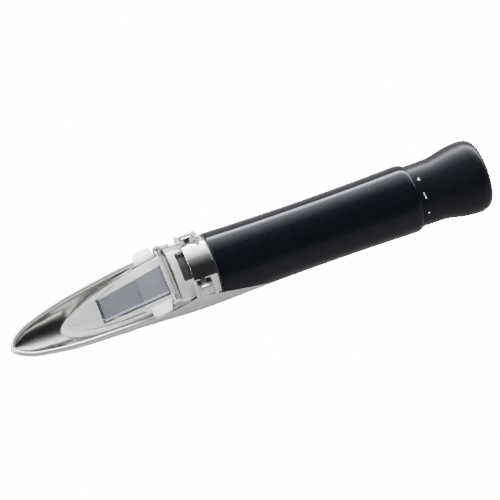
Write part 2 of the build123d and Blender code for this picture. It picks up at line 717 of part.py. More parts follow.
def bimetal_strip():
    start = CARRIAGE_FRONT + 1
    half = STRIP_WIDTH / 2
    top = STRIP_BOTTOM + STRIP_THICKNESS
    solid = block((start, start + STRIP_LENGTH), (-half, half), (STRIP_BOTTOM, top))
    for y in strip_screw_places():
        solid -= upright(CALIBRATION_X, y, 0, FAR, STRIP_SCREW_RADIUS + FIT_GAP)
    return solid


def bimetal_screws():
    top = STRIP_BOTTOM + STRIP_THICKNESS
    solids = []
    for y in strip_screw_places():
        head = upright(CALIBRATION_X, y, top, top + STRIP_SCREW_RADIUS, 2 * STRIP_SCREW_RADIUS)
        solids.append(head + upright(CALIBRATION_X, y, STRIP_BOTTOM - 1.9, top, STRIP_SCREW_RADIUS))
    return Compound(children=solids)


def cell_start():
    return CARRIAGE_FRONT + 1 + STRIP_LENGTH - CELL_LENGTH


def objective_cell():
    start = cell_start()
    radius = OBJECTIVE_RADIUS + FIT_GAP + CELL_WALL
    pad = block((start, start + CELL_LENGTH), (-radius / 2, radius / 2), (0, STRIP_BOTTOM - FIT_GAP / 2))
    solid = tube(start, start + CELL_LENGTH, radius) + pad
    solid -= tube(start + CELL_WALL, start + CELL_LENGTH + 1, OBJECTIVE_RADIUS + FIT_GAP)
    return solid - tube(start - 1, start + CELL_LENGTH, OBJECTIVE_RADIUS - CELL_WALL)


def objective_lens():
    start = cell_start() + CELL_WALL + FIT_GAP
    return lens(start, start + OBJECTIVE_THICKNESS, OBJECTIVE_RADIUS, 0.6) - tube(0, start, FAR)


def objective_retainer():
    start = cell_start() + CELL_WALL + OBJECTIVE_THICKNESS + 2 * FIT_GAP
    return tube(start, cell_start() + CELL_LENGTH, OBJECTIVE_RADIUS, OBJECTIVE_RADIUS - CELL_WALL)


def calibration_screw():
    head_high = -BARREL_RADIUS - SWING_GAP
    head_low = head_high - CALIBRATION_HEAD_HEIGHT
    solid = upright(CALIBRATION_X, 0, head_low, head_high, CALIBRATION_HEAD_RADIUS)
    solid += upright(CALIBRATION_X, 0, head_high, -CALIBRATION_TIP, CALIBRATION_SCREW_RADIUS)
    slot = SCREW_SLOT / 2
    slot_x = (CALIBRATION_X - slot, CALIBRATION_X + slot)
    return solid - block(slot_x, (-FAR, FAR), (head_low - 1, head_low + SCREW_SLOT))


def screw_seal():
    low = -BARREL_RADIUS - SWING_GAP + FIT_GAP
    high = -BARREL_RADIUS - FIT_GAP
    ring = upright(CALIBRATION_X, 0, low, high, CALIBRATION_HEAD_RADIUS - SEAT_GAP)
    return ring - upright(CALIBRATION_X, 0, low - 1, high + 1, CALIBRATION_SCREW_RADIUS + RUN_GAP)


def screw_clip():
    high = -CARRIAGE_HALF_HEIGHT - CARRIAGE_FOOT - 1.2
    ring = upright(CALIBRATION_X, 0, high - 0.6, high, CALIBRATION_HEAD_RADIUS)
    ring -= upright(CALIBRATION_X, 0, high - 2, high + 1, CALIBRATION_SCREW_RADIUS)
    mouth = block((CALIBRATION_X, FAR), (-0.9, 0.9), (high - 2, high + 1))
    return ring - mouth


# ---------------------------------------------------------------- reticle
def reticle_holder():
    start = RETICLE_HOLDER_FRONT
    solid = tube(start, start + HOLDER_LENGTH, INSERT_RADIUS, RETICLE_RADIUS + FIT_GAP)
    return solid + tube(start, start + LENS_STOP, INSERT_RADIUS, RETICLE_RADIUS - LENS_STOP)


def reticle():
    start = RETICLE_HOLDER_FRONT + LENS_STOP + FIT_GAP
    return tube(start, start + RETICLE_THICKNESS, RETICLE_RADIUS)


def reticle_retainer():
    start = RETICLE_HOLDER_FRONT + LENS_STOP + RETICLE_THICKNESS + 2 * FIT_GAP
    return tube(start, start + RETAINER_THICKNESS, RETICLE_RADIUS, RETICLE_RADIUS - LENS_STOP)


# ---------------------------------------------------------------- eyepiece
def field_lens_start():
    return LENS_BARREL_FRONT + LENS_STOP + FIT_GAP


def spacer_start():
    return field_lens_start() + FIELD_LENS_THICKNESS + FIT_GAP


def eye_lens_start():
    return spacer_start() + LENS_SPACER_LENGTH + FIT_GAP


def lens_barrel():
    end = LENS_BARREL_FRONT + LENS_BARREL_LENGTH
    solid = tube(LENS_BARREL_FRONT, end, LENS_BARREL_RADIUS, LENS_BORE)
    solid += tube(LENS_BARREL_FRONT, LENS_BARREL_FRONT + LENS_STOP, LENS_BARREL_RADIUS, LENS_BORE - LENS_STOP)
    solid += tube(FLANGE_FRONT, FLANGE_REAR, THREAD_RADIUS, LENS_BORE)
    reach = FOCUS_TRAVEL + KEY_RADIUS + RUN_GAP
    slot = KEY_RADIUS + RUN_GAP
    return solid - block((KEY_X - reach, KEY_X + reach), (-slot, slot), (0, FAR))


def field_lens():
    start = field_lens_start()
    return lens(start, start + FIELD_LENS_THICKNESS, LENS_RADIUS, 0.9)


def lens_spacer():
    start = spacer_start()
    return tube(start, start + LENS_SPACER_LENGTH, LENS_RADIUS, LENS_RADIUS - LENS_SPACER_WALL)


def eye_lens():
    start = eye_lens_start()
    return lens(start, start + EYE_LENS_THICKNESS, LENS_RADIUS, 1.4)


def eye_lens_retainer():
    start = eye_lens_start() + EYE_LENS_THICKNESS + FIT_GAP
    return tube(start, start + RETAINER_THICKNESS, LENS_RADIUS, LENS_RADIUS - LENS_STOP)


def focus_key():
    return upright(KEY_X, 0, LENS_BORE + SEAT_GAP, THREAD_RADIUS - FIT_GAP, KEY_RADIUS)


def focus_ring():
    solid = tube(FOCUS_RING_FRONT, FOCUS_RING_REAR, FOCUS_RING_RADIUS, FOCUS_BORE)
    shoulder_rear = FOCUS_SHOULDER_FRONT + FOCUS_SHOULDER
    shoulder_bore = LENS_BARREL_RADIUS + SWING_GAP / 2
    return solid + tube(FOCUS_SHOULDER_FRONT, shoulder_rear, FOCUS_RING_RADIUS, shoulder_bore)


def focus_circlip():
    start = FLANGE_REAR + FIT_GAP
    outside = FOCUS_BORE - FIT_GAP / 2
    solid = tube(start, start + CIRCLIP_THICKNESS, outside, LENS_BARREL_RADIUS + SWING_GAP / 2)
    return solid - block((0, FAR), (-1.2, 1.2), (-FAR, 0))


def focus_o_ring():
    end = KEY_X - 3 * KEY_RADIUS
    inside = THREAD_RADIUS - O_RING_SECTION + FIT_GAP
    return tube(end - O_RING_SECTION, end, THREAD_RADIUS + RUN_GAP / 4, inside)


def eyecup():
    flare = (
        (GRIP_REAR + 2.5, EYECUP_NECK_RADIUS),
        (GRIP_REAR + 10.5, EYECUP_NECK_RADIUS + 0.1),
        (GRIP_REAR + 15.5, EYECUP_NECK_RADIUS + 0.37 * (EYECUP_RADIUS - EYECUP_NECK_RADIUS)),
        (GRIP_REAR + 20.5, EYECUP_NECK_RADIUS + 0.8 * (EYECUP_RADIUS - EYECUP_NECK_RADIUS)),
        (OVERALL_LENGTH - EYECUP_END, EYECUP_RADIUS),
    )
    lip_radius = EYECUP_RADIUS - EYECUP_EDGE
    bowl_radius = lip_radius - EYECUP_LIP_WALL / 2
    bowl_floor = OVERALL_LENGTH - EYECUP_BOWL_DEPTH + LENS_STOP
    end_centre = (OVERALL_LENGTH - EYECUP_END, lip_radius)
    edges = [
        Line((EYECUP_NECK_FRONT, EYECUP_NECK_RADIUS), flare[0]),
        Spline(*flare, tangents=((1, 0), (1, 0))),
        EllipticalCenterArc(end_centre, EYECUP_END, EYECUP_EDGE, 0, arc_size=90),
        Polyline(
            (OVERALL_LENGTH, lip_radius),
            (OVERALL_LENGTH - 0.6, bowl_radius),
            (bowl_floor, EYE_APERTURE),
            (bowl_floor - LENS_STOP, EYE_APERTURE),
            (bowl_floor - LENS_STOP, EYECUP_NECK_BORE),
            (EYECUP_NECK_FRONT, EYECUP_NECK_BORE),
            (EYECUP_NECK_FRONT, EYECUP_NECK_RADIUS),
        ),
    ]
    return turned(edges)


# ---------------------------------------------------------------- export
PIECES = (
    scoop_shell,
    shell_screws,
    prism_stage,
    measuring_prism,
    prism_seal,
    daylight_plate,
    hinge_pin,
    hinge_saddle,
    strap,
    neck,
    front_seal,
    grip_sleeve,
    inner_barrel,
    grip_nut,
    light_baffle,
    carriage_guide,
    objective_carriage,
    bimetal_strip,
    bimetal_screws,
    objective_cell,
    objective_lens,
    objective_retainer,
    calibration_screw,
    screw_seal,
    screw_clip,
    reticle_holder,
    reticle,
    reticle_retainer,
    lens_barrel,
    field_lens,
    lens_spacer,
    eye_lens,
    eye_lens_retainer,
    focus_key,
    focus_ring,
    focus_circlip,
    focus_o_ring,
    eyecup,
)

os.makedirs("parts", exist_ok=True)
TO_FRAME = Location((-OVERALL_LENGTH / 2, 0, REST_HEIGHT))
for make in PIECES:
    export_step(make().moved(TO_FRAME), f"parts/{make.__name__}.step")
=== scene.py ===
import json
import math

import bmesh
import bpy
import numpy as np
from mathutils import Matrix, Vector


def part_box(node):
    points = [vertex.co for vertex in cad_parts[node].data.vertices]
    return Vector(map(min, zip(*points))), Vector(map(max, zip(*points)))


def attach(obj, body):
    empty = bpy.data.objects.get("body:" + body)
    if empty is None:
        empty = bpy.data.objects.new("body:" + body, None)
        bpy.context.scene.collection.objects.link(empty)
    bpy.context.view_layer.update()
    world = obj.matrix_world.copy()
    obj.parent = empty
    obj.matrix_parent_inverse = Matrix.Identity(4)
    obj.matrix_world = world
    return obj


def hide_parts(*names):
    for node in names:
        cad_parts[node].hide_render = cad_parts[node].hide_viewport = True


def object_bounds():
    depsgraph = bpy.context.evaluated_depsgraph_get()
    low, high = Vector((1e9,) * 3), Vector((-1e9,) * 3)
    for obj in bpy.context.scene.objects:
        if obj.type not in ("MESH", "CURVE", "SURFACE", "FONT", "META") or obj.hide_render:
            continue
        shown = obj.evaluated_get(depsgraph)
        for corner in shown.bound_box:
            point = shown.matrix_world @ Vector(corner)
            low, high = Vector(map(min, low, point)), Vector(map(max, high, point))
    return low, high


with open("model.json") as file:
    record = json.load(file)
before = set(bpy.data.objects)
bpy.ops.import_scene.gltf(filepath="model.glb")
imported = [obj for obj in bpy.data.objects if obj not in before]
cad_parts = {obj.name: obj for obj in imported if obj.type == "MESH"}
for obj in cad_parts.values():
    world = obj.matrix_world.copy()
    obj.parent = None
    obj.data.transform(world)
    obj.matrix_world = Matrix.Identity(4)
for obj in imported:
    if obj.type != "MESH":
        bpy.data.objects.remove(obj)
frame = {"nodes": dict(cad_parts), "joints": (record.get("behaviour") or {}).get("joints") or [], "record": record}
cad_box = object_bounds()

# Handheld refractometer, in metres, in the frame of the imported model: +X runs from the scoop's
# tip to the eyecup, and +Z is up. Shapes are written in millimetres about the optical axis, with
# x from the tip, and place() turns them into the frame.

MM = 0.001

# ---------------------------------------------------------------- places taken from the frame
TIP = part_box("scoop_shell")[0].x / MM
AXIS = (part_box("eyecup")[0].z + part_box("eyecup")[1].z) / 2 / MM
HINGE = {j["name"]: j for j in frame["joints"]}["daylight_plate_hinge"]["pos_m"]


def along(node, end):
    """Where a CAD node starts (0) or ends (1), in mm from the tip."""
    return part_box(node)[end].x / MM - TIP


def out(node):
    """A CAD node's largest half width across the axis, in mm."""
    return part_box(node)[1].y / MM


def top(node):
    """A CAD node's highest point above the axis, in mm."""
    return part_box(node)[1].z / MM - AXIS


def bottom(node):
    """A CAD node's lowest point from the axis, in mm."""
    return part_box(node)[0].z / MM - AXIS


BODY_R = top("strap")
HINGE_X = HINGE[0] / MM - TIP
HINGE_Z = HINGE[2] / MM - AXIS
GRIP_FRONT = along("grip_sleeve", 0)
GRIP_REAR = along("grip_sleeve", 1)
TAIL_END = along("scoop_shell", 1)
SADDLE_REAR = along("hinge_saddle", 1)
FLOOR_Z = bottom("scoop_shell")
EYECUP_REAR = along("eyecup", 1)
EYECUP_R = out("eyecup")

# ---------------------------------------------------------------- sizes of the visible shapes
# These repeat part.py's, in mm, since the frame doesn't carry them.
SHELL_WALL = 1.9
TAIL_WALL = 1.0
BORE = BODY_R - SHELL_WALL
KEEL_HALF = 4.0
KEEL_START_X, KEEL_FULL_X = 14, 50
KEEL_FADE = 30.6
ROUND_FROM_X = 60
SLOPE = math.radians(21.5)
PRISM_REAR_TOP = 7.0
PRISM_PROUD = 1.75
GRIP_WAIST_X = 129.7
GRIP_WAIST_R = 13.95
GRIP_REAR_R = 14.6
GRIP_LIP = 3.6
GRIP_SOCKET_R, GRIP_SOCKET_DEPTH = 13.44, 9.6
GRIP_BORE_R = 12.3
SADDLE_R = BODY_R - 0.5
CALIBRATION_HOLE_R = 2.5
EYECUP_NECK_R = 13.2
EYECUP_BORE_R = 12.66
EYECUP_OPENING_R = 9.5
EYECUP_LIP_LENGTH, EYECUP_LIP_DEPTH = 5.5, 2.9

FAR_OUT = 30  # well outside the instrument, for tools that cut right through
FIT_GAP = 0.05
SECTION_STEPS = 30
LIP_STEPS = 6


# ---------------------------------------------------------------- shape helpers
def place(x, y, z):
    """A point of the instrument, from mm about the axis to metres in the frame."""
    return Vector(((x + TIP) * MM, y * MM, (z + AXIS) * MM))


def smooth(points):
    """A curve through points that doesn't overshoot, as a function of x."""
    xs = np.array([p[0] for p in points], float)
    ys = np.array([p[1] for p in points], float)
    slopes = np.diff(ys) / np.diff(xs)
    at = np.empty(len(xs))
    at[0], at[-1] = slopes[0], slopes[-1]
    for i in range(1, len(xs) - 1):
        a, b = slopes[i - 1], slopes[i]
        at[i] = 0 if a * b <= 0 else 2 * a * b / (a + b)

    def value(x):
        i = int(np.clip(np.searchsorted(xs, x) - 1, 0, len(xs) - 2))
        h = xs[i + 1] - xs[i]
        t = min(max((x - xs[i]) / h, 0), 1)
        return (
            ys[i] * (1 + 2 * t) * (1 - t) ** 2
            + h * at[i] * t * (1 - t) ** 2
            + ys[i + 1] * t * t * (3 - 2 * t)
            - h * at[i + 1] * t * t * (1 - t)
        )

    return value


def spline(points, count):
    """count points on a centripetal Catmull-Rom curve through 2-D points."""
    p = [np.array(q, float) for q in points]
    p = [2 * p[0] - p[1]] + p + [2 * p[-1] - p[-2]]
    knots = [0.0]
    for a, b in zip(p, p[1:]):
        knots.append(knots[-1] + max(np.linalg.norm(b - a), 1e-9) ** 0.5)
    found = []
    for t in np.linspace(knots[1], knots[-2], count):
        i = int(np.clip(np.searchsorted(knots, t, side="right") - 1, 1, len(p) - 3))
        k = knots[i - 1 : i + 3]
        q = p[i - 1 : i + 3]
        a = [((k[j + 1] - t) * q[j] + (t - k[j]) * q[j + 1]) / (k[j + 1] - k[j]) for j in range(3)]
        b = [((k[j + 2] - t) * a[j] + (t - k[j]) * a[j + 1]) / (k[j + 2] - k[j]) for j in range(2)]
        found.append(((k[2] - t) * b[0] + (t - k[1]) * b[1]) / (k[2] - k[1]))
    return [tuple(q) for q in found]


def shown(name, verts, faces, sharp=38):
    """A mesh object with smooth shading and creases kept above an angle."""
    mesh = bpy.data.meshes.new(name)
    mesh.from_pydata([tuple(v) for v in verts], [], faces)
    mesh.update()
    made = bpy.data.objects.new(name, mesh)
    bpy.context.scene.collection.objects.link(made)
    tidy(made, sharp)
    return made


def tidy(made, sharp=38):
    """Merges coincident points, drops empty faces, turns normals out and sets the shading."""
    bm = bmesh.new()
    bm.from_mesh(made.data)
    bmesh.ops.remove_doubles(bm, verts=bm.verts, dist=2e-7)
    bmesh.ops.dissolve_degenerate(bm, edges=bm.edges, dist=1e-7)
    bmesh.ops.recalc_face_normals(bm, faces=bm.faces)
    bm.to_mesh(made.data)
    bm.free()
    made.data.shade_smooth()
    made.data.set_sharp_from_angle(angle=math.radians(sharp))
    made.data.update()


def grid(name, rows, caps=False, sharp=38):
    """A surface through rows of points, each row's end joined to its start."""
    n = len(rows[0])
    verts = [p for row in rows for p in row]
    faces = []
    for i in range(len(rows) - 1):
        for j in range(n):
            k = (j + 1) % n
            faces.append((i * n + j, i * n + k, (i + 1) * n + k, (i + 1) * n + j))
    if caps:
        faces += [tuple(range(n)), tuple(range((len(rows) - 1) * n, len(rows) * n))]
    return shown(name, verts, faces, sharp)


def lathe(name, profile, steps=96, sharp=38):
    """A closed outline of x and radius turned about the optical axis."""
    rows = []
    for x, r in list(profile) + [profile[0]]:
        row = []
        for s in range(steps):
            a = 2 * math.pi * s / steps
            row.append(place(x, r * math.sin(a), r * math.cos(a)))
        rows.append(row)
    return grid(name, rows, sharp=sharp)


def rounded(points, radius, steps=4):
    """A closed outline with each corner rounded; a point may carry its own radius."""
    done = []
    n = len(points)
    for i, p in enumerate(points):
        r = p[2] if len(p) > 2 else radius
        here = np.array(p[:2], float)
        before = np.array(points[i - 1][:2], float) - here
        after = np.array(points[(i + 1) % n][:2], float) - here
        lb, la = np.linalg.norm(before), np.linalg.norm(after)
        cos_turn = float(np.clip(before @ after / (lb * la), -1, 1))
        half = math.acos(cos_turn) / 2
        if r <= 0 or half > math.radians(88):
            done.append(tuple(here))
            continue
        reach = min(r / math.tan(half), 0.49 * lb, 0.49 * la)
        a, b = here + before / lb * reach, here + after / la * reach
        for s in range(steps + 1):
            t = s / steps
            done.append(tuple((1 - t) ** 2 * a + 2 * t * (1 - t) * here + t * t * b))
    return done


def prism_mesh(name, outline, low, high, sharp=38):
    """A plan outline between two heights, each a function of x and y."""
    n = len(outline)
    verts = [place(x, y, low(x, y)) for x, y in outline]
    verts += [place(x, y, high(x, y)) for x, y in outline]
    faces = [tuple(reversed(range(n))), tuple(range(n, 2 * n))]
    faces += [(i, (i + 1) % n, n + (i + 1) % n, n + i) for i in range(n)]
    return shown(name, verts, faces, sharp)


def sector(name, xs, angles, inner, outer, steps=24):
    """A slice of a tube; angles are degrees from the top, positive towards the near side."""
    rows = []
    for s in range(steps + 1):
        a = math.radians(angles[0] + (angles[1] - angles[0]) * s / steps)
        rows.append([place(x, -r * math.sin(a), r * math.cos(a))
                     for x, r in ((xs[0], inner), (xs[1], inner), (xs[1], outer), (xs[0], outer))])
    return grid(name, rows, caps=True)


def baked(made, sharp=None):
    """Applies a piece's modifiers to its mesh, and sets the shading again if an angle is given."""
    bpy.context.view_layer.update()
    graph = bpy.context.evaluated_depsgraph_get()
    mesh = bpy.data.meshes.new_from_object(made.evaluated_get(graph))
    made.modifiers.clear()
    made.data = mesh
    if sharp is not None:
        mesh.shade_smooth()
        mesh.set_sharp_from_angle(angle=math.radians(sharp))
    return made


def combine(made, tools, operation="DIFFERENCE", sharp=38):
    """Cuts or joins pieces exactly, and removes the tools."""
    for tool in tools:
        step = made.modifiers.new("combine", "BOOLEAN")
        step.object, step.operation, step.solver = tool, operation, "EXACT"
    baked(made, sharp)
    for tool in tools:
        bpy.data.objects.remove(tool)
    return made


def edged(made, width, segments=3, angle=40):
    """Rounds a piece's edges, so that they catch light."""
    step = made.modifiers.new("edges", "BEVEL")
    step.width, step.segments = width * MM, segments
    step.limit_method, step.angle_limit = "ANGLE", math.radians(angle)
    step.use_clamp_overlap = True
    even = made.modifiers.new("even", "WEIGHTED_NORMAL")
    even.weight, even.keep_sharp = 100, False
    return baked(made)


def upright(name, x, low, high, radius, steps=48):
    """A round rod that stands on the middle plane, between two heights."""
    rows = []
    for z in (low, high):
        rows.append([place(x + radius * math.cos(2 * math.pi * s / steps),
                           radius * math.sin(2 * math.pi * s / steps), z) for s in range(steps)])
    return grid(name, rows, caps=True)


def calibration_hole():
    """The tool that opens the shell and the grip under the calibration screw."""
    middle = (along("calibration_screw", 0) + along("calibration_screw", 1)) / 2
    return upright("tool", middle, -FAR_OUT, 0, CALIBRATION_HOLE_R)


def piece(made, body, nodes, slot, *materials):
    """Gives a piece its body, the CAD nodes it stands for and its looks; the slot is not used."""
    made.data.materials.clear()
    for m in materials:
        made.data.materials.append(m)
    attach(made, body)
    if nodes:
        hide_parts(*nodes)
    return made


# ---------------------------------------------------------------- materials
def principled(name, **values):
    """A Principled material, and its nodes, links and shader."""
    made = bpy.data.materials.new(name)
    made.use_nodes = True
    nodes, links = made.node_tree.nodes, made.node_tree.links
    shader = nodes["Principled BSDF"]
    for key, value in values.items():
        shader.inputs[key.replace("_", " ")].default_value = value
    return made, nodes, links, shader


def noise(nodes, links, scale, detail=3.0, stretch=(1, 1, 1)):
    """Noise in the object's own space, which may be stretched into streaks."""
    where = nodes.new("ShaderNodeTexCoord")
    spread = nodes.new("ShaderNodeMapping")
    spread.inputs["Scale"].default_value = stretch
    grain = nodes.new("ShaderNodeTexNoise")
    grain.inputs["Scale"].default_value = scale
    grain.inputs["Detail"].default_value = detail
    links.new(where.outputs["Object"], spread.inputs["Vector"])
    links.new(spread.outputs["Vector"], grain.inputs["Vector"])
    return grain.outputs["Fac"]


def ranged(nodes, links, source, low, high, start=0.3, end=0.7):
    """Noise turned into a range of values."""
    step = nodes.new("ShaderNodeMapRange")
    step.inputs["From Min"].default_value = start
    step.inputs["From Max"].default_value = end
    step.inputs["To Min"].default_value = low
    step.inputs["To Max"].default_value = high
    links.new(source, step.inputs["Value"])
    return step.outputs["Result"]


def bumped(nodes, links, shader, source, strength, depth):
    """Surface relief from a noise."""
    step = nodes.new("ShaderNodeBump")
    step.inputs["Strength"].default_value = strength
    step.inputs["Distance"].default_value = depth
    links.new(source, step.inputs["Height"])
    links.new(step.outputs["Normal"], shader.inputs["Normal"])


def toned(nodes, links, shader, source, dark, light):
    """Base colour that varies a little with a noise."""
    step = nodes.new("ShaderNodeMix")
    step.data_type = "RGBA"
    step.inputs["A"].default_value = (*dark, 1)
    step.inputs["B"].default_value = (*light, 1)
    links.new(source, step.inputs["Factor"])
    links.new(step.outputs["Result"], shader.inputs["Base Color"])


def finish_material(name, dark, light, rough, scale, relief=0.0, stretch=(1, 1, 1), **values):
    """A surface whose colour, roughness and relief all vary with fine noise."""
    made, nodes, links, shader = principled(name, **values)
    grain = noise(nodes, links, scale, stretch=stretch)
    toned(nodes, links, shader, ranged(nodes, links, grain, 0, 1), dark, light)
    links.new(ranged(nodes, links, grain, *rough), shader.inputs["Roughness"])
    if relief:
        bumped(nodes, links, shader, grain, 0.5, relief * MM)
    return made


def frosted(made, clearness):
    """Lets a share of what is behind a surface show through it."""
    nodes, links = made.node_tree.nodes, made.node_tree.links
    passing = nodes.new("ShaderNodeBsdfTransparent")
    both = nodes.new("ShaderNodeMixShader")
    both.inputs["Fac"].default_value = clearness
    links.new(nodes["Principled BSDF"].outputs["BSDF"], both.inputs[1])
    links.new(passing.outputs["BSDF"], both.inputs[2])
    links.new(both.outputs["Shader"], nodes["Material Output"].inputs["Surface"])
    return made


def clear_material(name, colour, rough, ior):
    """Clear plastic or glass: mirror-like at low angles and see-through elsewhere.

    It doesn't bend what is behind it. The index only sets how much it reflects.
    """
    made, nodes, links, shader = principled(name, Metallic=1.0)
    shader.inputs["Base Color"].default_value = (1, 1, 1, 1)
    grain = noise(nodes, links, 90)
    links.new(ranged(nodes, links, grain, *rough), shader.inputs["Roughness"])
    edge = nodes.new("ShaderNodeFresnel")
    edge.inputs["IOR"].default_value = ior
    passing = nodes.new("ShaderNodeBsdfTransparent")
    passing.inputs["Color"].default_value = (*colour, 1)
    both = nodes.new("ShaderNodeMixShader")
    links.new(edge.outputs["Fac"], both.inputs["Fac"])
    links.new(passing.outputs["BSDF"], both.inputs[1])
    links.new(shader.outputs["BSDF"], both.inputs[2])
    links.new(both.outputs["Shader"], nodes["Material Output"].inputs["Surface"])
    return made


CHROME = finish_material("polished_metal", (0.72, 0.72, 0.72), (0.80, 0.80, 0.79), (0.05, 0.09), 260,
                         0.0006, (0.25, 1, 1), Metallic=1.0)
# Drawn metal for the scoop's inside: rougher than the polished metal, and darker in colour as painted shade inside
# the trough.
DRAWN_WITH_PAINTED_SHADE = finish_material("drawn_metal_painted_shade", (0.62, 0.61, 0.59), (0.70, 0.69, 0.67), (0.20, 0.28), 300,
                        0.0, (0.2, 1, 1), Metallic=1.0)
BAND = finish_material("polished_strap", (0.78, 0.78, 0.78), (0.86, 0.86, 0.86), (0.12, 0.19), 900,
                       0.0004, (1, 0.1, 0.1), Metallic=1.0)
SATIN = finish_material("satin_metal", (0.80, 0.80, 0.79), (0.86, 0.86, 0.85), (0.34, 0.42), 2600,
                        0.002, Metallic=0.35)
STEEL = finish_material("machined_steel", (0.55, 0.55, 0.56), (0.66, 0.66, 0.67), (0.20, 0.30), 1500,
                        0.002, (1, 0.2, 0.2), Metallic=1.0)
BRASS = finish_material("turned_brass", (0.62, 0.42, 0.16), (0.76, 0.54, 0.24), (0.20, 0.32), 1400,
                        0.002, (1, 0.2, 0.2), Metallic=1.0)
BLACK = finish_material("black_anodised", (0.010, 0.010, 0.011), (0.018, 0.018, 0.020), (0.38, 0.50),
                        2200, 0.003)
GRIP = finish_material("glossy_grip", (0.0024, 0.0028, 0.0042), (0.0034, 0.0039, 0.0056), (0.04, 0.07),
                       700, 0.0005, Specular_IOR_Level=0.24, Specular_Tint=(0.80, 0.80, 1.0, 1))
EYE_RUBBER = finish_material("satin_eyecup", (0.0024, 0.0027, 0.0042), (0.0038, 0.0042, 0.0060),
                             (0.27, 0.34), 2400, 0.001, Specular_IOR_Level=0.18,
                             Specular_Tint=(0.85, 0.85, 1.0, 1))
SEAL_RUBBER = finish_material("black_rubber", (0.008, 0.008, 0.009), (0.014, 0.014, 0.015), (0.50, 0.65),
                              3000, 0.006)
PRISM = finish_material("prism_glass", (0.168, 0.174, 0.208), (0.182, 0.188, 0.222), (0.10, 0.14), 300,
                        0.0, IOR=1.62, Coat_Weight=0.3, Coat_Roughness=0.02)
PRISM_EDGE = finish_material("ground_prism_edge", (0.55, 0.56, 0.62), (0.70, 0.71, 0.76), (0.22, 0.34),
                             2600, 0.002)
CEMENT = finish_material("prism_cement", (0.015, 0.015, 0.035), (0.03, 0.03, 0.06), (0.28, 0.40),
                         1800, 0.003)
RIM = finish_material("satin_rim", (0.84, 0.84, 0.83), (0.90, 0.90, 0.89), (0.28, 0.36), 500,
                      Metallic=0.9)
PAINT = finish_material("white_mark", (0.70, 0.70, 0.70), (0.82, 0.82, 0.82), (0.4, 0.5), 2600,
                        0.002)
CLEAR = clear_material("clear_plastic", (0.985, 0.985, 0.985), (0.02, 0.06), 1.30)
TAB = frosted(finish_material("frosted_tab", (0.93, 0.93, 0.93), (0.97, 0.97, 0.97), (0.20, 0.30),
                              600, 0.001), 0.35)
SADDLE = finish_material("frosted_clear", (0.50, 0.50, 0.49), (0.66, 0.66, 0.64), (0.10, 0.22), 240, 0.002,
                         IOR=1.49, Transmission_Weight=0.45, Coat_Weight=0.5, Coat_Roughness=0.03)
LENS = clear_material("lens_glass", (0.93, 0.97, 0.98), (0.01, 0.03), 1.52)

SLOT_MATERIALS = {
    "polished_metal": CHROME,
    "satin_metal": SATIN,
    "steel": STEEL,
    "brass": BRASS,
    "black_metal": BLACK,
    "grip_plastic": GRIP,
    "clear_plastic": CLEAR,
    "prism_glass": PRISM,
    "lens_glass": LENS,
    "black_rubber": SEAL_RUBBER,
    "eyecup_rubber": EYE_RUBBER,
}

# ---------------------------------------------------------------- scoop shell
def plan_points():
    """The scoop's plan outline, tip to full width, as x and half width."""
    half = [(0.0025, 0.07), (0.012, 0.155), (0.03, 0.246), (0.059, 0.347), (0.118, 0.48),
            (0.354, 0.728), (0.657, 0.871), (0.93, 0.95), (1.108, 1.0)]
    half = [(a * HINGE_X, b * BODY_R) for a, b in half]
    full = [(x, -y) for x, y in reversed(half)] + [(0, 0)] + half
    found = spline(full, 241)[120:]
    return [(max(x, 0), max(y, 0)) for x, y in found]


rim_height = smooth([(a * HINGE_X, b * BODY_R) for a, b in (
    (0, -0.775), (0.05, -0.63), (0.118, -0.565), (0.354, -0.333), (0.657, -0.024), (0.93, 0.222),
    (1.06, 0.42), (1.137, 0.517))]
    + [(GRIP_FRONT + a * (TAIL_END - GRIP_FRONT), b * BODY_R) for a, b in (
        (0, 0.37), (0.19, 0.16), (0.56, -0.34), (0.98, -0.955), (1.0, -1.0))])
underside = smooth([(0, -0.775 * BODY_R - 2.0), (0.15 * HINGE_X, -0.965 * BODY_R),
                    (0.41 * HINGE_X, -1.05 * BODY_R), (KEEL_FULL_X, FLOOR_Z), (TAIL_END, FLOOR_Z)])


def grip_radius(x):
    """The waisted grip, which the shell's tail follows."""
    lip_start = GRIP_REAR - GRIP_LIP
    if x <= GRIP_FRONT:
        return BODY_R
    front, rear = BODY_R - GRIP_WAIST_R, GRIP_REAR_R - GRIP_WAIST_R
    if x < GRIP_WAIST_X:
        return GRIP_WAIST_R + front * ((GRIP_WAIST_X - x) / (GRIP_WAIST_X - GRIP_FRONT)) ** 2
    return GRIP_WAIST_R + rear * ((x - GRIP_WAIST_X) / (lip_start - GRIP_WAIST_X)) ** 2


def keel_share(x):
    """How much of the keel shows at x: none at the tip, all under the hinge, faded out by the grip."""
    if x > GRIP_FRONT:
        return max(0.0, 1 - (x - GRIP_FRONT) / KEEL_FADE) ** 1.5
    return min(1.0, max(0.0, (x - KEEL_START_X) / (KEEL_FULL_X - KEEL_START_X))) ** 1.5


def with_keel(x, y, z, radius):
    """A point of the round section, moved out to the keel's flat foot where that stands proud."""
    share = keel_share(x)
    if share <= 0 or z >= 0:
        return y, z
    angle = math.atan2(abs(y), -z)
    corner = math.atan2(KEEL_HALF, -FLOOR_Z)
    tangent = corner + math.acos(min(1, radius / math.hypot(KEEL_HALF, FLOOR_Z)))
    here = math.hypot(y, z)
    if angle <= corner:
        reach = -FLOOR_Z / math.cos(angle)
    elif angle < tangent:
        reach = radius / math.cos(tangent - angle)
    else:
        return y, z
    grown = 1 + share * max(0, reach / here - 1)
    y, z = y * grown, z * grown
    return y, max(z, FLOOR_Z)


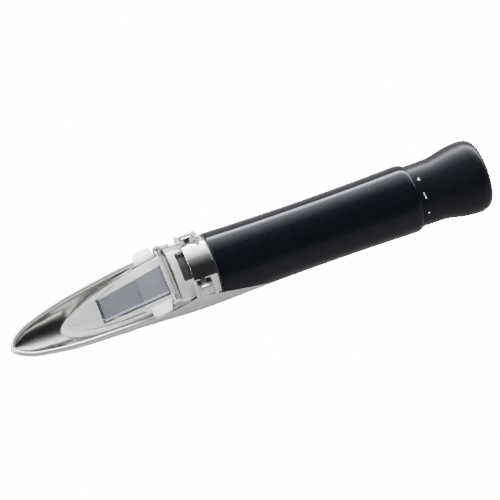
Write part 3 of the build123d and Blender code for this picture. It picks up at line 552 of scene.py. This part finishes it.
def shell_section(x, half, wall, outside):
    """One side of the shell's section, from its rim down to the middle, as y and z."""
    rim = rim_height(x)
    lip = 0.5 * wall
    radius = grip_radius(x)
    if outside:
        low, up = -radius if x > KEEL_FULL_X else underside(x), radius
    else:
        low = max(-radius + wall, underside(x) + wall)
        up = radius - wall
    edge = rim - lip
    centre = min(edge, 0) if x < ROUND_FROM_X else 0.0
    start = 0.0
    if edge > centre:
        start = -math.asin(min(1, (edge - centre) / up))
    elif edge < centre:
        start = math.asin(min(1, (edge - centre) / (low - centre)))
    points = []
    for s in range(SECTION_STEPS + 1):
        t = s / SECTION_STEPS
        psi = start + (math.pi / 2 - start) * t
        y = half * math.cos(psi)
        z = centre - (up if psi < 0 else centre - low) * math.sin(psi)
        if outside:
            y, z = with_keel(x, y, z, radius)
        points.append((y, z))
    return points


def shell_rows():
    """Stations of the shell: outer x and half width, inner x and half width, and the wall."""
    plan = plan_points()
    rows = []
    for i, (x, y) in enumerate(plan):
        before, after = plan[max(i - 1, 0)], plan[min(i + 1, len(plan) - 1)]
        dx, dy = after[0] - before[0], after[1] - before[1]
        if i == 0:
            dx = 0
        run = math.hypot(dx, dy)
        rows.append((x, y, x + SHELL_WALL * dy / run, max(y - SHELL_WALL * dx / run, 0), SHELL_WALL))
    x = rows[-1][0]
    while x < TAIL_END:
        x = min(x + 0.7, TAIL_END)
        thinned = min(max((x - GRIP_FRONT + 1.0) / 0.9, 0), 1)
        wall = SHELL_WALL + (TAIL_WALL - SHELL_WALL) * thinned
        radius = grip_radius(x)
        rows.append((x, radius, x, radius - wall, wall))
    return rows


def scoop_shell():
    """The trough with its rounded rim and keel, and the tools that cut its screw holes."""
    loops = []
    for x_out, y_out, x_in, y_in, wall in shell_rows():
        outer = [place(x_out, y, z) for y, z in shell_section(x_out, y_out, wall, True)]
        inner = [place(x_in, y, z) for y, z in shell_section(x_in, y_in, wall, False)]
        middle = (outer[0] + inner[0]) / 2
        sideways = outer[0] - middle
        rise = outer[0] - outer[1]
        rise = rise.normalized() if rise.length > 1e-9 else Vector((0, 0, 1))
        lip = [middle + sideways * math.cos(math.pi * s / LIP_STEPS)
               + rise * sideways.length * math.sin(math.pi * s / LIP_STEPS) for s in range(1, LIP_STEPS)]
        side = list(reversed(inner)) + list(reversed(lip)) + outer
        other = [Vector((p.x, -p.y, p.z)) for p in reversed(side)]
        loops.append(side + other)
    made = grid("scoop_shell_polished", loops, sharp=50)
    tools = [calibration_hole()]
    head = out("shell_screws")
    for x in (along("shell_screws", 0) + head, along("shell_screws", 1) - head):
        tools.append(upright("tool", x, -FAR_OUT, top("shell_screws"), head + FIT_GAP))
    return made, tools


shell, shell_tools = scoop_shell()
combine(shell, shell_tools, sharp=50)
piece(shell, "instrument", ["scoop_shell"], "polished_metal", CHROME, RIM, DRAWN_WITH_PAINTED_SHADE)
# The scoop's rim is satin and its inside is rougher drawn metal, whose darker colour is painted shade inside the
# trough; the rest is polished.
SCOOP_END = HINGE_X - 6
for polygon in shell.data.polygons:
    x, z = polygon.center.x / MM - TIP, polygon.center.z / MM - AXIS
    if x < SCOOP_END and z > rim_height(x) - 0.5 * SHELL_WALL - 0.05:
        polygon.material_index = 1
    # Inside faces get the darker drawn metal, which paints shade into the trough.
    elif x < SCOOP_END and polygon.normal.y * polygon.center.y / MM + polygon.normal.z * z < 0:
        polygon.material_index = 2


# ---------------------------------------------------------------- prism and its stage
def face_height(x, lift=0.0):
    """Height of the measuring face, or of a plane lifted off it."""
    return PRISM_REAR_TOP + (x - PRISM_REAR) * math.tan(SLOPE) + lift / math.cos(SLOPE)


PRISM_FRONT, PRISM_REAR = along("measuring_prism", 0), along("measuring_prism", 1)
PRISM_NARROW, PRISM_WIDE = 4.8, out("measuring_prism")
STAGE_NOSE, STAGE_REAR = along("prism_stage", 0), along("prism_stage", 1)
STAGE_HALF = out("prism_stage")
SEAL = 0.5


def prism_plan(margin):
    """The prism's trapezoid from above, grown by a margin."""
    front, rear = PRISM_FRONT - margin, PRISM_REAR + margin
    narrow, wide = PRISM_NARROW + margin, PRISM_WIDE + margin
    return [(front, -narrow), (rear, -wide), (rear, wide), (front, narrow)]


def nose(rear, length, half, steps=48):
    """Half an ellipse that points to the tip, from the near side round to the far side."""
    return [(rear - length * math.cos(math.radians(a)), half * math.sin(math.radians(a)))
            for a in np.linspace(-90, 90, steps)]


def stage_tongue():
    """The sloped tongue, with a soft edge all round and a pocket for the prism."""
    outline = nose(HINGE_X, HINGE_X - STAGE_NOSE, STAGE_HALF, 120)
    outline += [(STAGE_REAR, STAGE_HALF), (STAGE_REAR, -STAGE_HALF)]
    n = len(outline)
    rows = []
    # Each row is inset from the outline and drops below the face; None is the foot, on the shell.
    for inset, drop in ((0, None), (0, 0.40), (0.05, 0.22), (0.16, 0.08), (0.36, 0.01), (0.5, 0.0)):
        row = []
        for i, (x, y) in enumerate(outline):
            a, b = outline[i - 1], outline[(i + 1) % n]
            run = math.hypot(b[0] - a[0], b[1] - a[1])
            x_in, y_in = x + inset * (b[1] - a[1]) / run, y - inset * (b[0] - a[0]) / run
            if drop is None:
                room = BORE - FIT_GAP
                z = max(-math.sqrt(room * room - y * y), underside(x) + SHELL_WALL + FIT_GAP)
                z = min(z, face_height(x, -PRISM_PROUD) - 0.42)
            else:
                z = face_height(x_in, -PRISM_PROUD) - drop
            row.append(place(x_in, y_in, z))
        rows.append(row)
    made = grid("stage_tongue", rows, caps=True, sharp=60)
    pocket = prism_mesh("tool", prism_plan(SEAL), lambda x, y: face_height(x, -PRISM_PROUD - 1.6),
                        lambda x, y: face_height(x, 4))
    return combine(made, [pocket], sharp=60)


piece(stage_tongue(), "instrument", ["prism_stage"], "satin_metal", SATIN)

prism = prism_mesh("prism_block", prism_plan(0), lambda x, y: face_height(x, -PRISM_PROUD - 1.5),
                   lambda x, y: face_height(x))
edged(prism, 0.45, segments=2, angle=30)
piece(prism, "instrument", ["measuring_prism"], "prism_glass", PRISM, PRISM_EDGE, CEMENT)
# The front end shows the cement behind it, and the two long sides are ground.
for polygon in prism.data.polygons:
    normal = polygon.normal
    polygon.material_index = 2 if normal.x < -0.5 else 1 if abs(normal.y) > 0.2 else 0


def cement_line():
    """The dark line round the prism, with a hollow top."""
    rows = []
    base = -PRISM_PROUD
    for margin, lift in ((SEAL, base - 1.2), (SEAL, base), (SEAL * 0.75, base + 0.12),
                         (SEAL * 0.3, base + 0.3), (0.01, base + 0.45), (0.01, base - 1.2)):
        corners = rounded(prism_plan(margin), 0.35 + margin, 3)
        rows.append([place(x, y, face_height(x, lift)) for x, y in corners])
    rows.append(rows[0])
    return grid("prism_cement_line", rows, sharp=50)


piece(cement_line(), "instrument", ["prism_seal"], "black_rubber", CEMENT)


# ---------------------------------------------------------------- daylight plate and its hinge
PLATE_LOW, PLATE_HIGH = 0.3, 2.3
PLATE_NOSE = along("daylight_plate", 0)
PLATE_HALF = 10.3
BARREL_R = top("daylight_plate") - HINGE_Z
BARREL_HALF = 11.6
PIN_R = 0.8
TAB_REAR, TAB_LENGTH = 2.4, 7.9
TAB_FROM = PLATE_HALF - 0.35


def across(name, outline, x, z, steps=48):
    """A closed outline of y and radius turned about a line along Y."""
    rows = []
    for y, r in list(outline) + [outline[0]]:
        rows.append([place(x + r * math.cos(2 * math.pi * s / steps), y,
                           z + r * math.sin(2 * math.pi * s / steps)) for s in range(steps)])
    return grid(name, rows)


def hinge_hole(radius):
    """The tool that bores right through along the hinge line."""
    return across("tool", [(-20, 0), (-20, radius), (20, radius), (20, 0)], HINGE_X, HINGE_Z)


def daylight_plate():
    """The clear plate with its finger tabs and hinge barrel in one moulding."""
    tab = out("daylight_plate")
    rear, front = HINGE_X - TAB_REAR, HINGE_X - TAB_REAR - TAB_LENGTH
    curve = nose(HINGE_X, HINGE_X - PLATE_NOSE, PLATE_HALF, 96)
    near = [p for p in curve if p[1] < 0 and p[0] < front - 0.9]
    join = PLATE_HALF * math.sqrt(1 - ((HINGE_X - front) / (HINGE_X - PLATE_NOSE)) ** 2)
    tab_outline = rounded([(front - 0.7, -join, 0), (front, -join - 0.1, 0.7), (front, -tab, 3.4),
                           (rear, -tab, 3.4), (rear, -PLATE_HALF, 0.7), (HINGE_X, -PLATE_HALF, 0)], 0.5, 7)
    half = list(reversed(tab_outline)) + list(reversed(near))
    outline = half + [(x, -y) for x, y in reversed(half)]
    made = prism_mesh("daylight_plate_clear", outline, lambda x, y: face_height(x, PLATE_LOW),
                      lambda x, y: face_height(x, PLATE_HIGH))
    edged(made, 0.3, 3, 50)
    bore = PIN_R + 0.08
    barrel = across("tool", [(-BARREL_HALF, bore), (-BARREL_HALF, BARREL_R - 0.25),
                             (-BARREL_HALF + 0.25, BARREL_R), (BARREL_HALF - 0.25, BARREL_R),
                             (BARREL_HALF, BARREL_R - 0.25), (BARREL_HALF, bore)], HINGE_X, HINGE_Z)
    combine(made, [barrel], "UNION", 38)
    combine(made, [hinge_hole(bore)], "DIFFERENCE", 38)
    bm = bmesh.new()
    bm.from_mesh(made.data)
    for side in (1, -1):
        bmesh.ops.bisect_plane(bm, geom=bm.verts[:] + bm.edges[:] + bm.faces[:],
                               plane_co=place(0, side * TAB_FROM, 0), plane_no=(0, 1, 0))
    bm.to_mesh(made.data)
    bm.free()
    return made


plate = daylight_plate()
piece(plate, "daylight_cover", ["daylight_plate"], "clear_plastic", CLEAR, TAB)
# Only the tabs are frosted, not the barrel behind them.
for polygon in plate.data.polygons:
    if abs(polygon.center.y) > TAB_FROM * MM and polygon.center.x / MM - TIP < HINGE_X - 2.2:
        polygon.material_index = 1

PIN_HALF = out("hinge_pin")
PIN_START = BARREL_HALF - 2.6


def stub(name, side):
    """One of the two short pins, with rounded ends."""
    ends = [(PIN_START, 0), (PIN_START, PIN_R - 0.2), (PIN_START + 0.2, PIN_R), (PIN_HALF - 0.2, PIN_R),
            (PIN_HALF, PIN_R - 0.2), (PIN_HALF, 0)]
    return across(name, [(side * y, r) for y, r in ends], HINGE_X, HINGE_Z)


piece(stub("hinge_pin_near", -1), "instrument", ["hinge_pin"], "steel", STEEL)
piece(stub("hinge_pin_far", 1), "instrument", ["hinge_pin"], "steel", STEEL)


# ---------------------------------------------------------------- strap, seal, grip and eyecup
STRAP_FRONT, STRAP_REAR = along("strap", 0), along("strap", 1)
STRAP_LOW = SADDLE_R + 0.025
EAR_FRONT, EAR_REAR = 75.45, 84.55
STEM = (EAR_FRONT + EAR_REAR) / 2


def band(name, xs, inner, outer, angles, steps=64):
    """A rolled strip with rounded edges round the axis."""
    edge = min((outer - inner) / 2 * 0.9, 0.24)
    section = rounded([(xs[0], inner), (xs[1], inner), (xs[1], outer), (xs[0], outer)], edge, 4)
    rows = []
    for s in range(steps + 1):
        a = math.radians(angles[0] + (angles[1] - angles[0]) * s / steps)
        rows.append([place(x, -r * math.sin(a), r * math.cos(a)) for x, r in section])
    return grid(name, rows, caps=True)


def swept_strip(name, path, middle, thick):
    """A strip of metal round the axis at x = middle; path gives angle, radius and half width."""
    rows = []
    for i, (angle, r, width) in enumerate(path):
        before, after = path[max(i - 1, 0)], path[min(i + 1, len(path) - 1)]
        points = []
        for q in (before, after):
            b = math.radians(q[0])
            points.append(np.array([-q[1] * math.sin(b), q[1] * math.cos(b)]))
        tangent = points[1] - points[0]
        tangent /= np.linalg.norm(tangent)
        normal = np.array([tangent[1], -tangent[0]])
        a = math.radians(angle)
        outward = np.array([-math.sin(a), math.cos(a)])
        if normal @ outward < 0:
            normal = -normal
        base = np.array([-r * math.sin(a), r * math.cos(a)])
        section = rounded([(-width, 0), (width, 0), (width, thick), (-width, thick)], 0.12, 2)
        rows.append([place(middle + x, *(base + normal * up)) for x, up in section])
    return grid(name, rows, caps=True)


def strap():
    """The band, and on each side a stem that dips through the ear and ends in a crossbar."""
    made = band("strap_band", (STRAP_FRONT, STRAP_REAR), STRAP_LOW, BODY_R, (-30.5, 30.5))
    high = SADDLE_R + 2.2
    parts = []
    for side in (1, -1):
        path = [(side * 29.5, STRAP_LOW, 1.1), (side * 34, STRAP_LOW, 1.1), (side * 38, STRAP_LOW, 1.1),
                (side * 40.5, STRAP_LOW + 0.15, 1.1), (side * 41.6, STRAP_LOW + 0.8, 1.1),
                (side * 42.2, high - 0.4, 1.1), (side * 43.0, high, 1.6), (side * 43.6, high, 2.9),
                (side * 49, high, 2.9), (side * 55, high, 2.9)]
        parts.append(swept_strip("tool", path, STEM, 0.5))
    combine(made, parts, "UNION", 30)
    return made


piece(strap(), "instrument", ["strap"], "steel", BAND)


def seal_ring():
    """The soft ring in front of the grip, above the shell's rim."""
    x0, x1 = along("front_seal", 0), along("front_seal", 1)
    inner, outer = SADDLE_R - 1.8, BODY_R - 0.2
    section = rounded([(x0, inner), (x1, inner), (x1, outer), (x0, outer)], 0.38, 5)
    angle = math.degrees(math.acos(rim_height(x1) / BODY_R)) - 0.8
    rows = []
    for s in range(81):
        a = math.radians(-angle + 2 * angle * s / 80)
        rows.append([place(x, -r * math.sin(a), r * math.cos(a)) for x, r in section])
    return grid("front_seal_ring", rows, caps=True)


piece(seal_ring(), "instrument", ["front_seal"], "black_rubber", SEAL_RUBBER)


def grip():
    """The waisted grip, stepped in where the shell's tail lies in it."""
    top_steps, low_steps = 84, 28
    lip_start = GRIP_REAR - GRIP_LIP
    front_r = grip_radius(GRIP_FRONT)
    stations = [(GRIP_FRONT, front_r - 0.42), (GRIP_FRONT + 0.08, front_r - 0.2),
                (GRIP_FRONT + 0.28, front_r - 0.06)]
    x = GRIP_FRONT + 0.6
    while x < lip_start:
        stations.append((x, grip_radius(x)))
        x += 1.1
    lip_inner = 13.54
    for s in range(11):
        a = s / 10 * math.pi / 2
        stations.append((lip_start + GRIP_LIP * math.sin(a),
                         lip_inner + (GRIP_REAR_R - lip_inner) * math.cos(a) ** 0.8))
    socket = GRIP_REAR - GRIP_SOCKET_DEPTH
    bore = [(GRIP_REAR - 0.02, 13.46), (socket, GRIP_SOCKET_R), (socket, GRIP_BORE_R),
            (GRIP_FRONT, GRIP_BORE_R)]
    stations += bore
    rows = []
    for i, (x, r) in enumerate(stations):
        inside = i >= len(stations) - len(bore)
        if x < TAIL_END and not inside:
            angle = math.acos(max(min((rim_height(x) + 0.12) / grip_radius(x), 1), -1))
            low = min(r, grip_radius(x) - TAIL_WALL - 0.1)
        else:
            angle, low = math.pi, r
        if inside:
            angle = math.pi * 0.75
        row = []
        for s in range(top_steps + 1):
            a = -angle + 2 * angle * s / top_steps
            row.append(place(x, r * math.sin(a), r * math.cos(a)))
        for s in range(low_steps + 1):
            a = angle + (2 * math.pi - 2 * angle) * s / low_steps
            row.append(place(x, low * math.sin(a), low * math.cos(a)))
        rows.append(row)
    rows.append(rows[0])
    return grid("grip_sleeve_glossy", rows, sharp=34)


grip_piece = grip()
combine(grip_piece, [calibration_hole()], sharp=34)
piece(grip_piece, "instrument", ["grip_sleeve"], "grip_plastic", GRIP)


def eyecup():
    """The flared cup, turned from a neck inside the grip to its rolled lip and its bowl."""
    neck_r = EYECUP_NECK_R
    gain = EYECUP_R - neck_r
    lip_start = EYECUP_REAR - EYECUP_LIP_LENGTH
    flare = smooth([(GRIP_REAR - 5.6, neck_r), (GRIP_REAR + 2.5, neck_r), (GRIP_REAR + 10.5, neck_r + 0.1),
                    (GRIP_REAR + 15.5, neck_r + 0.37 * gain), (GRIP_REAR + 20.5, neck_r + 0.8 * gain),
                    (lip_start, EYECUP_R)])
    start = along("eyecup", 0)
    profile = [(start, neck_r - 0.5), (start, neck_r - 0.15), (start + 0.15, neck_r)]
    profile += [(x, flare(x)) for x in np.arange(start + 1.0, lip_start, 0.7)]
    lip = EYECUP_R - EYECUP_LIP_DEPTH
    for s in range(13):
        a = math.pi / 2 * s / 12
        profile.append((lip_start + EYECUP_LIP_LENGTH * math.sin(a), lip + EYECUP_LIP_DEPTH * math.cos(a)))
    floor = EYECUP_REAR - 10.9 + 1.5
    profile += rounded([(EYECUP_REAR, lip, 0), (EYECUP_REAR - 0.5, lip - 0.75, 0.6),
                        (EYECUP_REAR - 5.0, lip - 1.6, 2.0), (floor + 0.4, 9.9, 0.5),
                        (floor, EYECUP_OPENING_R, 0.3), (floor - 1.5, EYECUP_OPENING_R, 0.2)], 0.4, 5)[1:]
    profile += [(floor - 1.5, EYECUP_BORE_R), (start, EYECUP_BORE_R)]
    return lathe("eyecup_satin", profile, 128, sharp=40)


piece(eyecup(), "focus_grip", ["eyecup"], "eyecup_rubber", EYE_RUBBER)


# ---------------------------------------------------------------- clear saddle
WINDOW_HALF = 6.4
CHEEK = 1.4


def saddle():
    """The clear collar: a rolled wall with a window, two lugs for the pin and an ear on each side."""
    front, rear = HINGE_X + BARREL_R + 0.4, SADDLE_REAR
    bore = SADDLE_R - 1.9
    made = sector("saddle_clear", (front, rear), (-75, 75), bore, SADDLE_R, 60)
    near, far = front + 2.9, front + 6.9
    window = rounded([(near, -WINDOW_HALF), (far, -WINDOW_HALF), (far, WINDOW_HALF),
                      (near, WINDOW_HALF)], 0.9, 5)
    tools = [prism_mesh("tool", window, lambda x, y: 2.0, lambda x, y: 20)]
    for side in (1, -1):
        tools.append(sector("tool", (EAR_FRONT + CHEEK, EAR_REAR - CHEEK), (side * 33, side * 44.2),
                            bore - 1, SADDLE_R + 1, 12))
    combine(made, tools)
    adds = []
    lug_in, lug_out = BARREL_HALF + 0.1, out("hinge_pin")
    for side in (1, -1):
        y0, y1 = sorted((side * lug_in, side * lug_out))
        lug = across("tool", [(y0, 0), (y0, BARREL_R - 0.2), (y0 + 0.2, BARREL_R), (y1 - 0.2, BARREL_R),
                              (y1, BARREL_R - 0.2), (y1, 0)], HINGE_X, HINGE_Z)
        arm = prism_mesh("tool", [(HINGE_X, y0), (front + 3, y0), (front + 3, y1), (HINGE_X, y1)],
                         lambda x, y: HINGE_Z - 5.5 + 0.45 * (HINGE_X + 4 - x), lambda x, y: HINGE_Z)
        cheek_top = SADDLE_R + 3.0
        root = SADDLE_R - 0.95
        adds += [lug, arm]
        for low, high in ((EAR_FRONT, EAR_FRONT + CHEEK), (EAR_REAR - CHEEK, EAR_REAR)):
            adds.append(sector("tool", (low, high), (side * 33, side * 57), root, cheek_top, 14))
        adds.append(sector("tool", (EAR_FRONT + 0.01, EAR_REAR - 0.01), (side * 44.2, side * 56.9), root,
                           SADDLE_R + 2.1, 12))
    for tool in adds:
        combine(made, [tool], "UNION")
    keep_out = []
    xs = np.linspace(HINGE_X - 4, rear + 1, 24)
    for y in (-FAR_OUT, FAR_OUT):
        keep_out.append([place(x, y, -FAR_OUT) for x in xs]
                        + [place(x, y, rim_height(x) + 0.12) for x in reversed(xs)])
    combine(made, [grid("tool", keep_out, caps=True)])
    combine(made, [hinge_hole(PIN_R)])
    return edged(made, 0.14, 2, 40)


piece(saddle(), "instrument", ["hinge_saddle"], "clear_plastic", SADDLE)

# ---------------------------------------------------------------- carried-over CAD nodes
for m in frame["record"]["materials"]:
    if m["slot"] not in SLOT_MATERIALS:
        raise ValueError("no material for slot " + m["slot"])
for name, node in frame["nodes"].items():
    if node.hide_render:
        continue
    used = [s.material.name.split(".")[0] for s in node.material_slots if s.material]
    for i, s in enumerate(node.material_slots):
        s.material = SLOT_MATERIALS.get(used[i], BLACK)
    for polygon in node.data.polygons:
        polygon.use_smooth = True
    node.data.set_sharp_from_angle(angle=math.radians(34))


# ---------------------------------------------------------------- focus marks
def mark(name, x, angle, outline):
    """A thin raised mark on the eyecup's neck; the outline is in mm, along and round."""
    r = EYECUP_NECK_R
    n = len(outline)
    verts = []
    for lift in (-0.05, 0.06):
        for u, v in outline:
            a = math.radians(angle) + v / r
            verts.append(place(x + u, -(r + lift) * math.sin(a), (r + lift) * math.cos(a)))
    faces = [tuple(reversed(range(n))), tuple(range(n, 2 * n))]
    faces += [(i, (i + 1) % n, n + (i + 1) % n, n + i) for i in range(n)]
    made = shown(name, verts, faces)
    return piece(made, "focus_grip", [], "eyecup_rubber", PAINT)


MARK_X = GRIP_REAR + 2.6
mark("focus_mark_minus", MARK_X, 26, [(-0.35, -1.3), (0.05, -1.3), (0.4, 1.3), (0.0, 1.3)])
mark("focus_mark_zero", MARK_X, -6.4, [(-0.7, 0), (0.5, -0.7), (0.5, 0.7)])
mark("focus_mark_plus", MARK_X, 60,
     [(0.4 * math.cos(a), 0.4 * math.sin(a)) for a in np.linspace(0, 2 * math.pi, 17)[:-1]])

# ---------------------------------------------------------------- floor, light and camera
# The camera sees a floor and a background that are near white. Reflections and bounced light see
# the dim floor and the studio's ramp instead, so the floor shows no shadow.
FLOOR_DIM, FLOOR_SEEN, STUDIO_SEEN = 0.16, 18.0, 16

floor_mesh = bpy.data.meshes.new("floor")
floor_mesh.from_pydata([(-3, -3, 0), (3, -3, 0), (3, 3, 0), (-3, 3, 0)], [], [(0, 1, 2, 3)])
floor = bpy.data.objects.new("floor", floor_mesh)
bpy.context.scene.collection.objects.link(floor)
floor.location.z = cad_box[0].z - 0.0002
floor_material, nodes, links, shader = principled("pale_floor", Roughness=0.9)
shader.inputs["Base Color"].default_value = (0.19, 0.19, 0.185, 1)
shader.inputs["Emission Color"].default_value = (1, 1, 1, 1)
path = nodes.new("ShaderNodeLightPath")
glow = ranged(nodes, links, path.outputs["Is Camera Ray"], FLOOR_DIM, FLOOR_SEEN, 0, 1)
links.new(glow, shader.inputs["Emission Strength"])
floor_mesh.materials.append(floor_material)


def panel(name, where, aim, size, power, glossy):
    """A soft area lamp, in metres."""
    lamp = bpy.data.lights.new(name, "AREA")
    lamp.shape, lamp.size, lamp.size_y = "RECTANGLE", *size
    lamp.energy = power
    made = bpy.data.objects.new(name, lamp)
    bpy.context.scene.collection.objects.link(made)
    made.location = where
    made.rotation_mode = "QUATERNION"
    made.rotation_quaternion = (Vector(aim) - Vector(where)).to_track_quat("-Z", "Y")
    made.visible_glossy = glossy
    return made


panel("overhead", (0.1, -0.1, 1.2), (0, 0, 0), (1.4, 1.4), 44, glossy=False)


# Brightness by the angle round the long axis: 0 is straight up, and positive is the far side.
STUDIO_STOPS = [
    (-180, 0.9), (-100, 0.8), (-75, 0.7), (-64, 0.35), (-56, 0.13), (-48, 0.09), (-44, 0.03), (0, 0.025),
    (11, 0.09), (28, 0.33), (46, 2.4), (63, 5.4), (74, 7), (84, 26), (100, 26), (115, 6), (180, 1.5)]


def studio():
    """The world: a ramp round the long axis for reflections, and plain white for the camera."""
    world = bpy.data.worlds.new("studio")
    bpy.context.scene.world = world
    world.use_nodes = True
    nodes, links = world.node_tree.nodes, world.node_tree.links
    where = nodes.new("ShaderNodeTexCoord")
    split = nodes.new("ShaderNodeSeparateXYZ")
    links.new(where.outputs["Generated"], split.inputs["Vector"])
    turn = nodes.new("ShaderNodeMath")
    turn.operation = "ARCTAN2"
    links.new(split.outputs["Y"], turn.inputs[0])
    links.new(split.outputs["Z"], turn.inputs[1])
    share = nodes.new("ShaderNodeMapRange")
    share.inputs["From Min"].default_value = -math.pi
    share.inputs["From Max"].default_value = math.pi
    links.new(turn.outputs["Value"], share.inputs["Value"])
    ramp = nodes.new("ShaderNodeValToRGB")
    links.new(share.outputs["Result"], ramp.inputs["Fac"])
    elements = ramp.color_ramp.elements
    while len(elements) < len(STUDIO_STOPS):
        elements.new(0.5)
    for element, (angle, level) in zip(elements, STUDIO_STOPS):
        element.position = (angle + 180) / 360
        element.color = (level, level, level, 1)
    background = nodes["Background"]
    path = nodes.new("ShaderNodeLightPath")
    seen = nodes.new("ShaderNodeMix")
    seen.data_type = "RGBA"
    seen.inputs["B"].default_value = (STUDIO_SEEN, STUDIO_SEEN, STUDIO_SEEN, 1)
    links.new(path.outputs["Is Camera Ray"], seen.inputs["Factor"])
    links.new(ramp.outputs["Color"], seen.inputs["A"])
    links.new(seen.outputs["Result"], background.inputs["Color"])


studio()

# The camera solved from the photo: angles in degrees, distances in metres.
ELEVATION, YAW, ROLL = (math.radians(a) for a in (69.5, 10.0, 19.45))
DISTANCE = 0.7721
SENSOR_MM, FOCAL_MM = 36, 136.8
back = Vector((-math.sin(YAW), -math.cos(YAW) * math.cos(ELEVATION), math.cos(YAW) * math.sin(ELEVATION)))
level = (Vector((1, 0, 0)) - back * back.x).normalized()
upward = level.cross(-back)
right = math.cos(ROLL) * level - math.sin(ROLL) * upward
above = math.sin(ROLL) * level + math.cos(ROLL) * upward
target = Vector((0.0002, 0, AXIS * MM + 0.00469))
lens = bpy.data.cameras.new("camera")
lens.sensor_width, lens.lens = SENSOR_MM, FOCAL_MM
camera = bpy.data.objects.new("camera", lens)
bpy.context.scene.collection.objects.link(camera)
turned = Matrix((right, above, back)).transposed().to_4x4()
camera.matrix_world = Matrix.Translation(target + back * DISTANCE) @ turned
bpy.context.scene.camera = camera
